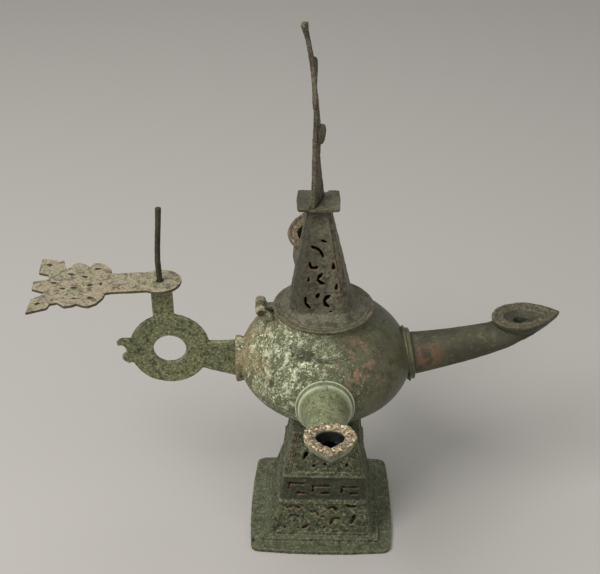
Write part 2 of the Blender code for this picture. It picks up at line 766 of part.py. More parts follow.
def lamp_body(shop, material):
    off_axis = Matrix.Translation((BOWL_SHIFT, 0, 0))
    outer = turned("lamp_body", bowl_profile() + [(NECK_RADIUS, bowl_foot())], BOWL_SIDES)
    inside = turned("bowl_hollow", bowl_profile(BOWL_WALL), BOWL_SIDES // 2)
    for mesh in (outer, inside):
        mesh.transform(off_axis)
    collar_low = collar_foot() - 2 * BOWL_WALL
    collar = turned("collar", [(COLLAR_RADIUS, COLLAR_TOP), (COLLAR_RADIUS, collar_low)], BOWL_SIDES)
    mouth_low = collar_low - BOWL_WALL
    mouth = turned("mouth", [(MOUTH_RADIUS, COLLAR_TOP + BOWL_WALL), (MOUTH_RADIUS, mouth_low)], BOWL_SIDES)
    for mesh in (collar, mouth):
        mesh.transform(Matrix.Translation((LID_SHIFT, 0, 0)))
    obj = shop.add("lamp_body", outer, material)
    boolean(obj, shop.add("bowl_collar", collar), "UNION")
    for name, (turn, reach, height, length, rise) in NOZZLES.items():
        spin = Matrix.Rotation(math.radians(turn), 4, "Z")
        solids = {
            "tube": nozzle_body(reach, height, length, rise),
            "mouth": nozzle_mouth(reach, height, length, rise),
            "ring": nozzle_ring(),
        }
        for part, mesh in solids.items():
            mesh.transform(spin)
            boolean(obj, shop.add(f"{name}_nozzle_{part}", mesh), "UNION")
    socket = tilted_collar(SOCKET_OUT, SOCKET_HEIGHT, SOCKET_RADIUS, SOCKET_WIDTH / 2, 0)
    socket.transform(Matrix.Rotation(math.pi, 4, "Z"))
    boolean(obj, shop.add("handle_socket", socket), "UNION")
    for place, (low, high) in zip(("front", "back"), knuckle_spans()):
        boolean(obj, shop.add(f"bracket_{place}", loft("bracket", bracket(low, high))), "UNION")
        boolean(obj, shop.add(f"knuckle_{place}", rod("knuckle", low, high, BARREL_RADIUS)), "UNION")
    boolean(obj, shop.add("bowl_hollow", inside), "DIFFERENCE")
    boolean(obj, shop.add("bowl_mouth", mouth), "DIFFERENCE")
    for name, (turn, reach, height, length, rise) in NOZZLES.items():
        spin = Matrix.Rotation(math.radians(turn), 4, "Z")
        for part, mesh in (("channel", nozzle_channel(reach, height, length, rise)),
                           ("wick_hole", wick_hole(reach, height, length, rise))):
            mesh.transform(spin)
            boolean(obj, shop.add(f"{name}_nozzle_{part}", mesh), "DIFFERENCE")
    boolean(obj, shop.add("bar_slot", bar_slot()), "DIFFERENCE")
    bore = rod("bore", -BARREL_LENGTH, BARREL_LENGTH, HINGE_PIN_RADIUS + GAP)
    boolean(obj, shop.add("bowl_hinge_bore", bore), "DIFFERENCE")


# Handle

def bar_slot():
    """The slot in the socket on the bowl that the handle's bar ends in."""
    half = HANDLE_THICK / 2 + GAP
    outline = [
        (-SOCKET_OUT - SOCKET_WIDTH, BAR_BOTTOM_BOWL - GAP), (-BAR_END + GAP, BAR_BOTTOM_BOWL - GAP),
        (-BAR_END + GAP, BAR_TOP + GAP), (-SOCKET_OUT - SOCKET_WIDTH, BAR_TOP + GAP),
    ]
    return loft("slot", [[Vector((x, y, z)) for x, z in outline] for y in (-half, half)])


def ring_angle(height):
    """The angle on the handle's ring, from +X, where it reaches a height over its middle."""
    return math.degrees(math.asin((height - FINGER_HEIGHT) / HANDLE_RADIUS))


def curl_stumps():
    """The two worn stumps of curls on the ring, as shares of its radius from its middle."""
    edge = (
        (-0.90, 0.31), (-1.05, 0.33), (-1.16, 0.325), (-1.25, 0.29), (-1.31, 0.21), (-1.30, 0.14),
        (-1.25, 0.115), (-1.19, 0.135), (-1.13, 0.10), (-1.09, 0.02), (-1.075, -0.08), (-1.15, -0.135),
        (-1.205, -0.20), (-1.195, -0.285), (-1.145, -0.345), (-1.07, -0.405), (-1.03, -0.415),
        (-0.975, -0.39), (-0.90, -0.40), (-0.80, -0.30), (-0.80, 0.20),
    )
    return [(-FINGER_REACH + x * HANDLE_RADIUS, FINGER_HEIGHT + z * HANDLE_RADIUS) for x, z in edge]


def handle(shop, material):
    x = -FINGER_REACH
    left, right = -UPRIGHT_REACH - UPRIGHT_WIDTH / 2, -UPRIGHT_REACH + UPRIGHT_WIDTH / 2
    upright_right = math.degrees(math.acos((right - x) / HANDLE_RADIUS))
    upright_left = math.degrees(math.acos((left - x) / HANDLE_RADIUS))
    outline = [(-BAR_END, BAR_BOTTOM_BOWL), (-BAR_END, BAR_TOP)]
    outline += arc(x, FINGER_HEIGHT, HANDLE_RADIUS, ring_angle(BAR_TOP), upright_right, 6)
    outline += [(right, PLATE_UNDER - GAP), (left, PLATE_UNDER - GAP)]
    outline += arc(x, FINGER_HEIGHT, HANDLE_RADIUS, upright_left, 360 + ring_angle(BAR_BOTTOM_RING), 20)
    hole = arc(x, FINGER_HEIGHT, FINGER_RADIUS, 0, 345, 23)
    frame = Matrix.Rotation(math.pi / 2, 4, "X")
    plate = flat_plate("handle", [outline, hole], HANDLE_THICK, frame)
    obj = shop.add("handle", plate, material)
    thin = HANDLE_THICK / 2 - GAP
    curls = prisms("curls", [curl_stumps()], -thin, thin, frame)
    boolean(obj, shop.add("handle_curls", curls), "UNION")


# Thumb plate and wire

def leaf_edges():
    """The worn edges on the back and on the front, as shares of the leaf's length and half width."""
    back = (
        (0.00, 0.36), (-0.01, 0.46), (0.01, 0.58), (0.06, 0.67), (0.10, 0.77), (0.17, 0.82), (0.25, 0.82),
        (0.29, 0.66), (0.37, 0.79), (0.47, 0.87), (0.53, 0.81), (0.55, 0.67), (0.60, 0.58), (0.64, 0.78),
        (0.66, 0.97), (0.69, 0.99), (0.72, 0.89), (0.77, 1.01), (0.97, 1.07), (0.96, 0.46), (0.82, 0.37),
        (0.80, 0.17), (1.00, 0.09),
    )
    front = (
        (0.99, -0.22), (0.83, -0.35), (0.82, -0.46), (0.965, -0.66), (0.98, -1.17), (0.72, -1.00),
        (0.70, -0.84), (0.61, -0.80), (0.52, -0.95), (0.42, -0.92), (0.365, -0.86), (0.30, -0.93),
        (0.215, -0.97), (0.11, -0.86), (0.04, -0.63), (0.02, -0.46), (-0.05, -0.43),
    )
    return back + front


def leaf_openings():
    """Each opening's length, width, turn, and its place as shares of the leaf's length and half width."""
    mm = 0.001
    shapes = (
        (4.2, 2.4, 15, 0.85, 0.80), (5.2, 2.6, 20, 0.53, 0.37), (5.0, 2.6, 30, 0.34, 0.25),
        (4.8, 2.4, 160, 0.17, 0.58), (4.6, 2.4, 20, 0.73, 0.02), (4.2, 2.2, 20, 0.60, -0.22),
        (4.2, 2.4, 20, 0.45, -0.20), (4.4, 2.4, 150, 0.23, -0.10), (3.0, 2.0, 110, 0.10, -0.07),
        (4.6, 2.6, 200, 0.19, -0.64), (3.8, 2.0, 10, 0.42, -0.64), (4.0, 2.2, 160, 0.85, -0.82),
    )
    long = PLATE_REACH - DISC_REACH - LEAF_START
    outlines = []
    for length, width, turn, along, across in shapes:
        place = (LEAF_START + along * long, across * LEAF_HALF)
        outlines.append(moved(drop(length * mm, width * mm), *place, turn))
    return outlines


def thumb_plate(shop, material):
    joint = math.degrees(math.asin(PLATE_NECK_HALF / DISC_RADIUS))
    long = PLATE_REACH - DISC_REACH - LEAF_START
    outline = arc(0, 0, DISC_RADIUS, joint, 360 - joint, 16)[::-1]
    outline += [(LEAF_START + along * long, across * LEAF_HALF) for along, across in leaf_edges()]
    wire = arc(0, 0, WIRE_RADIUS + GAP, 0, 330, 11)
    mirrored = [[(-x, y) for x, y in edge] for edge in (outline, wire, *leaf_openings())]
    frame = Matrix.Translation((-DISC_REACH, 0, PLATE_UNDER + PLATE_THICK / 2))
    shop.add("thumb_plate", flat_plate("thumb_plate", mirrored, PLATE_THICK, frame), material)


def wire_pin(shop, material):
    """The wire kinks a little on its way up to where it snapped off."""
    kinks = ((0.0, 0.0), (0.3, -0.12), (0.5, 0.03), (0.78, 0.35), (1.0, 0.56))
    foot = PLATE_UNDER + GAP
    curve = bpy.data.curves.new("wire_pin", "CURVE")
    curve.dimensions = "3D"
    curve.bevel_depth = WIRE_RADIUS
    curve.bevel_resolution = 1
    curve.use_fill_caps = True
    spline = curve.splines.new("POLY")
    spline.points.add(len(kinks) - 1)
    for point, (share, shift) in zip(spline.points, kinks):
        point.co = (-DISC_REACH + shift * 2 * WIRE_RADIUS, 0, foot + (WIRE_TOP - foot) * share, 1)
    shop.add("wire_pin", mesh_of(bpy.data.objects.new("wire_pin", curve)), material)


# Lid and finial

def spire_half(height):
    share = (height - SPIRE_FOOT) / (SPIRE_TOP - SPIRE_FOOT)
    return SPIRE_FOOT_HALF + (SPIRE_TOP_HALF - SPIRE_FOOT_HALF) * share


def spire_openings():
    """The scrolls of one face of the spire, from the middle of its foot."""
    mm = 0.001
    shapes = (
        (drop(4.4 * mm, 1.4 * mm), 3.0, 39.5, -20),
        (crescent(7.2 * mm, 1.5 * mm, 72), -5.2, 29.6, 48),
        (crescent(2.3 * mm, 1.3 * mm, 190), -3.0, 27.4, 240),
        (drop(4.6 * mm, 2.3 * mm), 6.9, 26.6, 95),
        (drop(3.8 * mm, 1.4 * mm), -6.0, 19.6, 85),
        (crescent(2.7 * mm, 1.5 * mm, 200), 1.6, 19.4, 190),
        (drop(4.8 * mm, 2.0 * mm), 8.4, 15.6, 80),
        (drop(4.0 * mm, 2.0 * mm), -1.2, 10.4, 60),
        (crescent(5.2 * mm, 1.4 * mm, 84), -2.6, 7.4, 200),
        (crescent(3.1 * mm, 1.6 * mm, 180), 5.0, 6.8, 175),
        (drop(1.9 * mm, 1.4 * mm), 5.2, 1.2, 0),
    )
    return [moved(outline, x * mm, y * mm, turn) for outline, x, y, turn in shapes]


def spire_frame(quarter):
    foot = Vector((0, -SPIRE_FOOT_HALF, SPIRE_FOOT))
    top = Vector((0, -SPIRE_TOP_HALF, SPIRE_TOP))
    up = (top - foot).normalized()
    across = Vector((1, 0, 0))
    place = Matrix((across, up, across.cross(up))).transposed().to_4x4()
    place.translation = foot
    return Matrix.Rotation(math.radians(90 * quarter), 4, "Z") @ place


def spire_rings(inset, foot):
    heights = (foot, SPIRE_TOP - (inset if inset else 0))
    rings = []
    for height in heights:
        rings.append(at_height(chamfered_square(spire_half(height) - inset, SPIRE_CHAMFER_SHARE), height))
    return rings


def finial_frame():
    """X along the plate, Y up, Z out of its right face. Its origin is under the cap's middle."""
    shift = SPIRE_SHIFT - math.tan(math.radians(SPIRE_LEAN)) * (cap_top() - SPIRE_FOOT)
    turn = Matrix.Translation((shift, 0, 0)) @ Matrix.Rotation(math.radians(90 - FINIAL_TURN), 4, "Z")
    return turn @ Matrix.Rotation(math.pi / 2, 4, "X")


def spire_lean():
    """The spire leans a little towards the handle, more the higher it goes."""
    lean = Matrix.Identity(4)
    lean[0][2] = -math.tan(math.radians(SPIRE_LEAN))
    lean[0][3] = math.tan(math.radians(SPIRE_LEAN)) * SPIRE_FOOT + SPIRE_SHIFT
    return lean


def cap_top():
    return SPIRE_TOP + CAP_THICK


def finial_slot():
    long = CAP_HALF * 2
    low = cap_top() - SLOT_DEPTH
    half = FINIAL_THICK / 2 + GAP
    outline = [(-long, low), (long, low), (long, low + long), (-long, low + long)]
    return prisms("slot", [outline], -half, half, finial_frame())


def lid(shop, material):
    edge_top = LID_UNDER + LID_EDGE
    disc = turned("lid", [
        (FLARE_HALF, edge_top + LID_RISE * 0.62), (LID_RADIUS * 0.9, edge_top + LID_RISE * 0.16),
        (LID_RADIUS, edge_top), (LID_RADIUS, LID_UNDER),
    ], BOWL_SIDES)
    disc.transform(Matrix.Translation((LID_SHIFT, 0, 0)))
    foot = chamfered_square(SPIRE_FOOT_HALF, SPIRE_CHAMFER_SHARE)
    flare = chamfered_square(FLARE_HALF, 0.34)
    spire = [
        at_height(chamfered_square(FLARE_HALF * 1.12, 0.40), edge_top),
        at_height(flare, edge_top + LID_RISE * 0.55),
        at_height(chamfered_square(FLARE_HALF * 0.905, 0.29), edge_top + LID_RISE * 1.25),
        at_height(foot, SPIRE_FOOT),
    ]
    spire += spire_rings(0, SPIRE_FOOT)[1:]
    under = chamfered_square(SPIRE_FOOT_HALF - SPIRE_WALL, SPIRE_CHAMFER_SHARE)
    hollow = [at_height(under, LID_UNDER - SPIRE_WALL)] + spire_rings(SPIRE_WALL, SPIRE_FOOT)
    square = rounded_square(CAP_HALF, CAP_CORNER, CAP_BULGE, 2, 2)
    cap = [at_height(square, height) for height in (SPIRE_TOP - GAP, cap_top())]
    holes = []
    for quarter in range(4):
        shapes = spire_openings() if quarter in SEEN_FACES else spire_openings()[::2]
        holes.append(prisms("hole", shapes, -2.5 * SPIRE_WALL, SPIRE_WALL, spire_frame(quarter)))
    turn = Matrix.Rotation(math.radians(LID_TURN), 4, "Z")
    meshes = {"spire": loft("spire", spire), "cap": loft("cap", cap),
              "hollow": loft("hollow", hollow), "holes": join_meshes("holes", holes)}
    for mesh in meshes.values():
        mesh.transform(spire_lean() @ turn)
    half = KNUCKLE_WIDTH / 2
    reach_in = HINGE_REACH + LID_SHIFT - LID_RADIUS * 0.86
    tongue = loft("tongue", hinge_block(-half, half, TONGUE_THICK, reach_in))
    obj = shop.add("lid", disc, material, on_lid=True)
    adds = (("lid_spire", meshes["spire"]), ("lid_cap", meshes["cap"]), ("lid_tongue", tongue),
            ("lid_knuckle", rod("knuckle", -half, half, BARREL_RADIUS)))
    for name, mesh in adds:
        boolean(obj, shop.add(name, mesh, on_lid=True), "UNION")
    bore = rod("bore", -KNUCKLE_WIDTH, KNUCKLE_WIDTH, HINGE_PIN_RADIUS + GAP)
    cuts = (("lid_hollow", meshes["hollow"]), ("lid_holes", meshes["holes"]),
            ("lid_slot", finial_slot()), ("lid_bore", bore))
    for name, mesh in cuts:
        boolean(obj, shop.add(name, mesh, on_lid=True), "DIFFERENCE")


def finial_outline():
    """The plate's edge in its own plane: a broad foot, a slender blade to its front and two thorns.

    The points are shares of the foot's half width and of the plate's height.
    """
    near = ((-1.0, 0), (-0.92, 0.10), (-0.78, 0.33), (-0.66, 0.54), (-0.78, 0.59), (-0.68, 0.65),
            (-0.62, 0.71), (-0.55, 0.80), (-0.53, 0.92), (-0.61, 0.967), (-0.67, 0.992))
    tip = ((-0.41, 1.0),)
    far = ((-0.08, 0.992), (-0.30, 0.957), (-0.37, 0.865), (-0.35, 0.827), (-0.08, 0.816), (0.06, 0.80),
           (0.02, 0.773), (-0.34, 0.708), (-0.49, 0.67), (-0.35, 0.573), (-0.12, 0.476), (-0.07, 0.26),
           (0.27, 0.12), (0.55, 0.03), (0.71, 0))
    foot = cap_top() - SLOT_DEPTH + GAP
    return [(x * FINIAL_HALF, foot + y * (FINIAL_TOP - foot)) for x, y in near + tip + far]


def finial(shop, material):
    plate = flat_plate("finial", [finial_outline()], FINIAL_THICK, Matrix.Identity(4))
    bm = bmesh.new()
    bm.from_mesh(plate)
    for fold in range(FINIAL_FOLDS):
        height = FINIAL_BEND_AT + (FINIAL_TOP - FINIAL_BEND_AT) * (fold + 1) / (FINIAL_FOLDS + 1)
        geometry = bm.verts[:] + bm.edges[:] + bm.faces[:]
        bmesh.ops.bisect_plane(bm, geom=geometry, dist=WELD / 10, plane_co=(0, height, 0), plane_no=(0, 1, 0))
    for vert in bm.verts:
        share = max(0, vert.co.y - FINIAL_BEND_AT) / (FINIAL_TOP - FINIAL_BEND_AT)
        vert.co.z -= FINIAL_LEAN * share ** 2
    bm.to_mesh(plate)
    bm.free()
    plate.transform(finial_frame())
    disc = arc(BOSS_BACK, BOSS_HEIGHT, BOSS_RADIUS, 0, 330, 11)
    boss = prisms("boss", [disc], GAP - FINIAL_THICK / 2, FINIAL_THICK / 2 + BOSS_PROUD, finial_frame())
    obj = shop.add("finial", plate, material, on_lid=True)
    boolean(obj, shop.add("finial_boss", boss, on_lid=True), "UNION")


def hinge_pin(shop, material):
    """The pin through the knuckles, with a small head at its front end."""
    end = BARREL_LENGTH / 2 + GAP
    shank = rod("hinge_pin", -end - PIN_HEAD_WIDTH / 2, end + PIN_HEAD_WIDTH, HINGE_PIN_RADIUS)
    head = rod("head", -end - PIN_HEAD_WIDTH, -end, PIN_HEAD_RADIUS)
    obj = shop.add("hinge_pin", shank, material)
    boolean(obj, shop.add("hinge_pin_head", head), "UNION")


def main():
    clear_scene()
    shop = Workshop()
    green = make_material("green_bronze", BRONZE_GREEN, 0.62, 0.35)
    dark = make_material("dark_bronze", BRONZE_DARK, 0.55, 0.45)
    brown = make_material("brown_bronze", BRONZE_BROWN, 0.50, 0.40)
    buff = make_material("buff_bronze", BRONZE_BUFF, 0.80, 0.10)
    stand(shop, dark)
    lamp_body(shop, green)
    handle(shop, green)
    thumb_plate(shop, buff)
    wire_pin(shop, dark)
    lid(shop, brown)
    finial(shop, dark)
    hinge_pin(shop, dark)


main()
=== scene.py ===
"""The three-nozzle oil lamp dressed for its photograph: fine cast forms, corrosion and patina.

Metres, +Z up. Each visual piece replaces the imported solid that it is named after. Pieces are drawn
about the lamp's axis, which stands at (AXIS_X, AXIS_Y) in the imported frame.
"""

import math

import bmesh
import bpy
import numpy as np
from mathutils import Matrix, Vector


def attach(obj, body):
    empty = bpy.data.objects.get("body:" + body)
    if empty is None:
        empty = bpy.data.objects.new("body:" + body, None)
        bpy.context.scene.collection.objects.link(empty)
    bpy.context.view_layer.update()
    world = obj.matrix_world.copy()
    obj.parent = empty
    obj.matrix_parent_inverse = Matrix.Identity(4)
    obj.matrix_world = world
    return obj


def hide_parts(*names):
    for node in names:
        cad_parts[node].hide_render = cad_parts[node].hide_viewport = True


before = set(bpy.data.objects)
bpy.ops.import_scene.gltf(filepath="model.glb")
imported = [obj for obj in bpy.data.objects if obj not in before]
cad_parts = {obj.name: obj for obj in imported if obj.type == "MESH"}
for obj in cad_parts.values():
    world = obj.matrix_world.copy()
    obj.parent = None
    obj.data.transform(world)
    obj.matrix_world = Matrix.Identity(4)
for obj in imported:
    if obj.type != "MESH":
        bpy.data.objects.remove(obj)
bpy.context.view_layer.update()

MM = 0.001

# The lamp's axis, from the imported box: the side nozzle and the thumb plate reach its two ends.
# Each nozzle has its bearing, its mouth's reach, height and length, and the degrees that the mouth rises.
PLATE_REACH = 0.1516
NOZZLES = {
    "side": (0.0, 0.0926, 0.1322, 0.0369, 4.5),
    "front": (-91.3, 0.0860, 0.1314, 0.0290, 9.0),
    "back": (91.3, 0.0850, 0.1295, 0.0345, 14.0),
}
TIPS = {
    name: reach + length * math.cos(math.radians(rise))
    for name, (_, reach, _, length, rise) in NOZZLES.items()
}
AXIS_X = (PLATE_REACH - TIPS["side"]) / 2
AXIS_Y = (TIPS["front"] - TIPS["back"]) / 2

# Bowl
BOWL_RADIUS = 0.0472
BOWL_MIDDLE = 0.1092
BOWL_RISE = 0.0368
BOWL_DROP = 0.0335
BOWL_FULLNESS_UP = 1.78
BOWL_FULLNESS_DOWN = 1.77
BOWL_WALL = 0.0024
BOWL_SHIFT = 0.0020
COLLAR_RADIUS = 0.0262
COLLAR_TOP = 0.1412
COLLAR_SHIFT = 0.0008
MOUTH_RADIUS = 0.0222
NECK_RADIUS = 0.0162

# The band of the shoulder that is engraved, as shares of the bowl's rise
ENGRAVED = (0.555, 0.705)
ENGRAVED_DEPTH = 0.00038

# The dent and the cut on the bowl's left, about the lamp's axis, with their half sizes
DENT_AT = (-0.0295, -0.0325, 0.1180)
DENT_HALF = (0.0030, 0.0030, 0.0042)
DENT_DEPTH = 0.0009
GASH_AT = (-0.0287, -0.0338, 0.1163)
GASH_HALF = (0.0019, 0.0019, 0.0042)
GASH_DEPTH = 0.0008

# Nozzles
NOZZLE_ROOT = 0.0380
NOZZLE_ROOT_HEIGHT = 0.1085
NOZZLE_ROOT_RADIUS = 0.0126
NOZZLE_TIP_RADIUS = 0.0088
NOZZLE_WALL = 0.0022
RING_OUT = 0.0500
RING_WIDTH = 0.0026
RING_PROUD = 0.0015
RING_TILT = 7.5
FLANGE_WIDTH = 0.0009
FLANGE_SHARE = 1.10
MOUTH_HALF = 0.0127
MOUTH_FULLEST = 0.42
MOUTH_DEPTH = 0.0048

# A raised collar's outline: steps along it in widths, with shares of its radius
COLLAR_STEPS = (
    (-2.6, 0.90), (-0.95, 0.985), (-0.80, 1.0), (-0.25, 1.0), (-0.08, 0.98), (0.0, 0.94), (0.05, 0.88),
)
COLLAR_SIDES = 72

# Handle's socket and hinge ears on the bowl
SOCKET_OUT = 0.0470
SOCKET_RADIUS = 0.0128
SOCKET_HEIGHT = 0.1095
SOCKET_WIDTH = 0.0050
HINGE_REACH = 0.0328
HINGE_HEIGHT = 0.1430
BARREL_RADIUS = 0.0029
BARREL_LENGTH = 0.0128
KNUCKLE_WIDTH = 0.0044
GAP = 0.0003

# Lid: its turn
LID_TURN = -3.5

# Stand: its turn and lean, and its outline as half widths at heights
STAND_TURN = -4.0
STAND_SHIFT = 0.0008
STAND_LEAN = 2.0
STAND_HEIGHTS = (0.0042, 0.0256, 0.0262, 0.0413, 0.0425, 0.0700)
STAND_HALVES = (0.0302, 0.0252, 0.0246, 0.0230, 0.0225, 0.0186)

# Stand's carving, in mm: its pierced panels' heights, the ribs' distances from a corner, and the heights
# and half widths of the lines that frame its lower panel
PANELS = ((7.5, 24.0), (27.8, 40.2), (45.5, 68.0))
RIBS = (1.5, 2.9)
RIB_HALF = 0.35
FRAME_LINES = ((6.6, 0.40), (24.0, 0.35))
WORN_BACK = 0.00050

# Nick in the edge of the stand's foot, about the lamp's axis
NICK_AT = (-0.0405, -0.0290, 0.0024)
NICK_RADIUS = 0.0018
NICK_DEPTH = 0.0016

# Grooves turned in the lid's disc, as radii in mm
LID_GROOVES = (25.0, 23.4)

# Skins of the cast forms, and the most triangles of each
NOZZLE_SKIN = 0.00036
NOZZLE_MOST = 84000
FITTINGS_SKIN = 0.00038
FITTINGS_MOST = 76000

# Lights: name, place, size, power and colour
LIGHTS = (
    ("key", (-0.80, -0.62, 1.25), 0.85, 20.0, (1.0, 0.985, 0.95)),
    ("fill", (0.95, -0.75, 0.9), 1.0, 3.2, (1.0, 0.99, 0.97)),
    ("top", (-0.2, 0.5, 1.5), 1.0, 4.0, (0.98, 0.99, 1.0)),
)
LOOK_AT = (0, 0, 0.12)
WORLD_COLOUR = (1.0, 0.985, 0.96, 1)
WORLD_STRENGTH = 0.32
FLOOR_HALF = 6.0
FLOOR_COLOUR = (0.47, 0.455, 0.43)

# Camera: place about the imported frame's origin, tilt and turn, and lens on a 36 mm sensor
CAMERA_PLACE = (-0.0232, -0.4980, 0.4586)
CAMERA_TILT = 58.5
CAMERA_TURN = -2.6
CAMERA_LENS = 66.0


# Numbers

def lattice(cell, seed):
    """A fixed random value from 0 to 1 for each whole-numbered cell."""
    mixed = cell[:, 0] * 73856093 ^ cell[:, 1] * 19349663 ^ cell[:, 2] * 83492791 ^ (seed * 2654435761)
    mixed = (mixed ^ (mixed >> 13)) * 1274126177
    mixed = (mixed ^ (mixed >> 16)) & 0xFFFFFF
    return mixed / 0xFFFFFF


def noise(points, size, seed):
    """Smooth value noise from -1 to 1, with lumps of about this size in metres."""
    at = points / size
    low = np.floor(at).astype(np.int64)
    part = at - low
    part = part * part * (3 - 2 * part)
    total = np.zeros(len(points))
    for corner in range(8):
        step = np.array([corner & 1, corner >> 1 & 1, corner >> 2 & 1])
        weight = np.prod(np.where(step, part, 1 - part), axis=1)
        total += weight * lattice(low + step, seed)
    return total * 2 - 1


def fractal(points, size, seed, octaves=3):
    total = np.zeros(len(points))
    for octave in range(octaves):
        total += noise(points, size / 2 ** octave, seed + octave) / 2 ** octave
    return total / 1.6


def ease(low, high, value):
    share = np.clip((value - low) / (high - low), 0, 1)
    return share * share * (3 - 2 * share)


# Meshes

def loft(name, rings):
    """A closed mesh through rings of as many points each, capped at both ends."""
    points = np.concatenate([np.asarray(r, float) for r in rings])
    count = len(rings[0])
    faces = []
    for level in range(len(rings) - 1):
        low, high = level * count, (level + 1) * count
        for i in range(count):
            j = (i + 1) % count
            faces.append((low + i, low + j, high + j, high + i))
    faces.append(tuple(range(count))[::-1])
    faces.append(tuple(range(len(points) - count, len(points))))
    mesh = bpy.data.meshes.new(name)
    mesh.from_pydata(points.tolist(), [], faces)
    bm = bmesh.new()
    bm.from_mesh(mesh)
    bmesh.ops.recalc_face_normals(bm, faces=bm.faces[:])
    bm.to_mesh(mesh)
    bm.free()
    return mesh


def make_object(name, mesh):
    obj = bpy.data.objects.new(name, mesh)
    bpy.context.scene.collection.objects.link(obj)
    return obj


def applied(obj):
    """The object with its modifiers baked into its mesh."""
    graph = bpy.context.evaluated_depsgraph_get()
    mesh = bpy.data.meshes.new_from_object(obj.evaluated_get(graph))
    old = obj.data
    obj.modifiers.clear()
    obj.data = mesh
    bpy.data.meshes.remove(old)
    return obj


def combine(obj, meshes, operation):
    """Booleans the meshes with the object one after the other."""
    for mesh in meshes:
        tool = make_object("tool", mesh)
        modifier = obj.modifiers.new("join", "BOOLEAN")
        modifier.object = tool
        modifier.operation = operation
        modifier.solver = "EXACT"
        applied(obj)
        bpy.data.objects.remove(tool)
    return obj


def join(obj, meshes):
    """Adds the meshes to the object as they are, for a remesh to fuse."""
    bm = bmesh.new()
    bm.from_mesh(obj.data)
    for mesh in meshes:
        bm.from_mesh(mesh)
        bpy.data.meshes.remove(mesh)
    bm.to_mesh(obj.data)
    bm.free()
    return obj


def remesh(obj, size, smooth=3):
    """Fuses the object into one even skin and softens its edges."""
    modifier = obj.modifiers.new("skin", "REMESH")
    modifier.mode = "VOXEL"
    modifier.voxel_size = size
    if smooth:
        modifier = obj.modifiers.new("soften", "SMOOTH")
        modifier.factor = 0.5
        modifier.iterations = smooth
    return applied(obj)


def thin_out(obj, most):
    """Brings the object under this many triangles."""
    obj.data.calc_loop_triangles()
    count = len(obj.data.loop_triangles)
    if count > most:
        modifier = obj.modifiers.new("thin", "DECIMATE")
        modifier.ratio = most / count
        applied(obj)
    return obj


def coordinates(obj):
    points = np.empty(len(obj.data.vertices) * 3)
    obj.data.vertices.foreach_get("co", points)
    return points.reshape(-1, 3)


def normals(obj):
    values = np.empty(len(obj.data.vertices) * 3)
    obj.data.vertices.foreach_get("normal", values)
    return values.reshape(-1, 3)


def relief(obj, depth):
    """Moves each point along its normal by a depth in metres."""
    points = coordinates(obj) + normals(obj) * depth[:, None]
    obj.data.vertices.foreach_set("co", points.ravel())
    obj.data.update()


def mark(obj, name, values):
    """Stores a value for each point, which a material reads by name."""
    attribute = obj.data.attributes.get(name) or obj.data.attributes.new(name, "FLOAT", "POINT")
    attribute.data.foreach_set("value", np.asarray(values, np.float32))


def corrode(obj, amount, seed, pits=1.0):
    """Casting waves, lumps of crust and small pits. Marks the pits for the materials."""
    points = coordinates(obj)
    waves = fractal(points, 0.012, seed) * 0.22 * MM
    crust = fractal(points, 0.0028, seed + 7) * 0.10 * MM
    deep = ease(0.30, 0.75, noise(points, 0.0017, seed + 13))
    deep *= ease(-0.1, 0.5, noise(points, 0.011, seed + 17))
    relief(obj, (waves + crust) * amount - deep * 0.28 * MM * pits)
    mark(obj, "pits", deep * min(1.0, pits))
    return obj


def piece(obj, node, material, body="lamp", smooth=True):
    """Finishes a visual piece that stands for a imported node."""
    obj.data.materials.clear()
    obj.data.materials.append(material)
    if smooth:
        obj.data.shade_smooth()
    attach(obj, body)
    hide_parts(node)
    return obj


def from_node(name, title):
    """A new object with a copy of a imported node's mesh."""
    return make_object(title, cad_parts[name].data.copy())


# Bowl

def bowl_radius(height, inset=0.0):
    up = height > BOWL_MIDDLE
    tall = (BOWL_RISE if up else BOWL_DROP) - inset
    full = BOWL_FULLNESS_UP if up else BOWL_FULLNESS_DOWN
    share = min(1.0, abs(height - BOWL_MIDDLE) / tall)
    return (BOWL_RADIUS - inset) * (1 - share ** full) ** (1 / full)


def bowl_height(radius, up, inset=0.0):
    tall = (BOWL_RISE if up else BOWL_DROP) - inset
    full = BOWL_FULLNESS_UP if up else BOWL_FULLNESS_DOWN
    rise = tall * (1 - (radius / (BOWL_RADIUS - inset)) ** full) ** (1 / full)
    return BOWL_MIDDLE + (rise if up else -rise)


def bowl_curve(low, high, steps, inset=0.0):
    """Radius and height pairs along the bowl's side, close together where it turns fast."""
    turns = np.linspace(math.asin(low), math.asin(high), steps)
    points = []
    for turn in turns:
        tall = (BOWL_RISE if turn > 0 else BOWL_DROP) - inset
        height = BOWL_MIDDLE + tall * math.sin(turn)
        points.append((bowl_radius(height, inset), height))
    return points


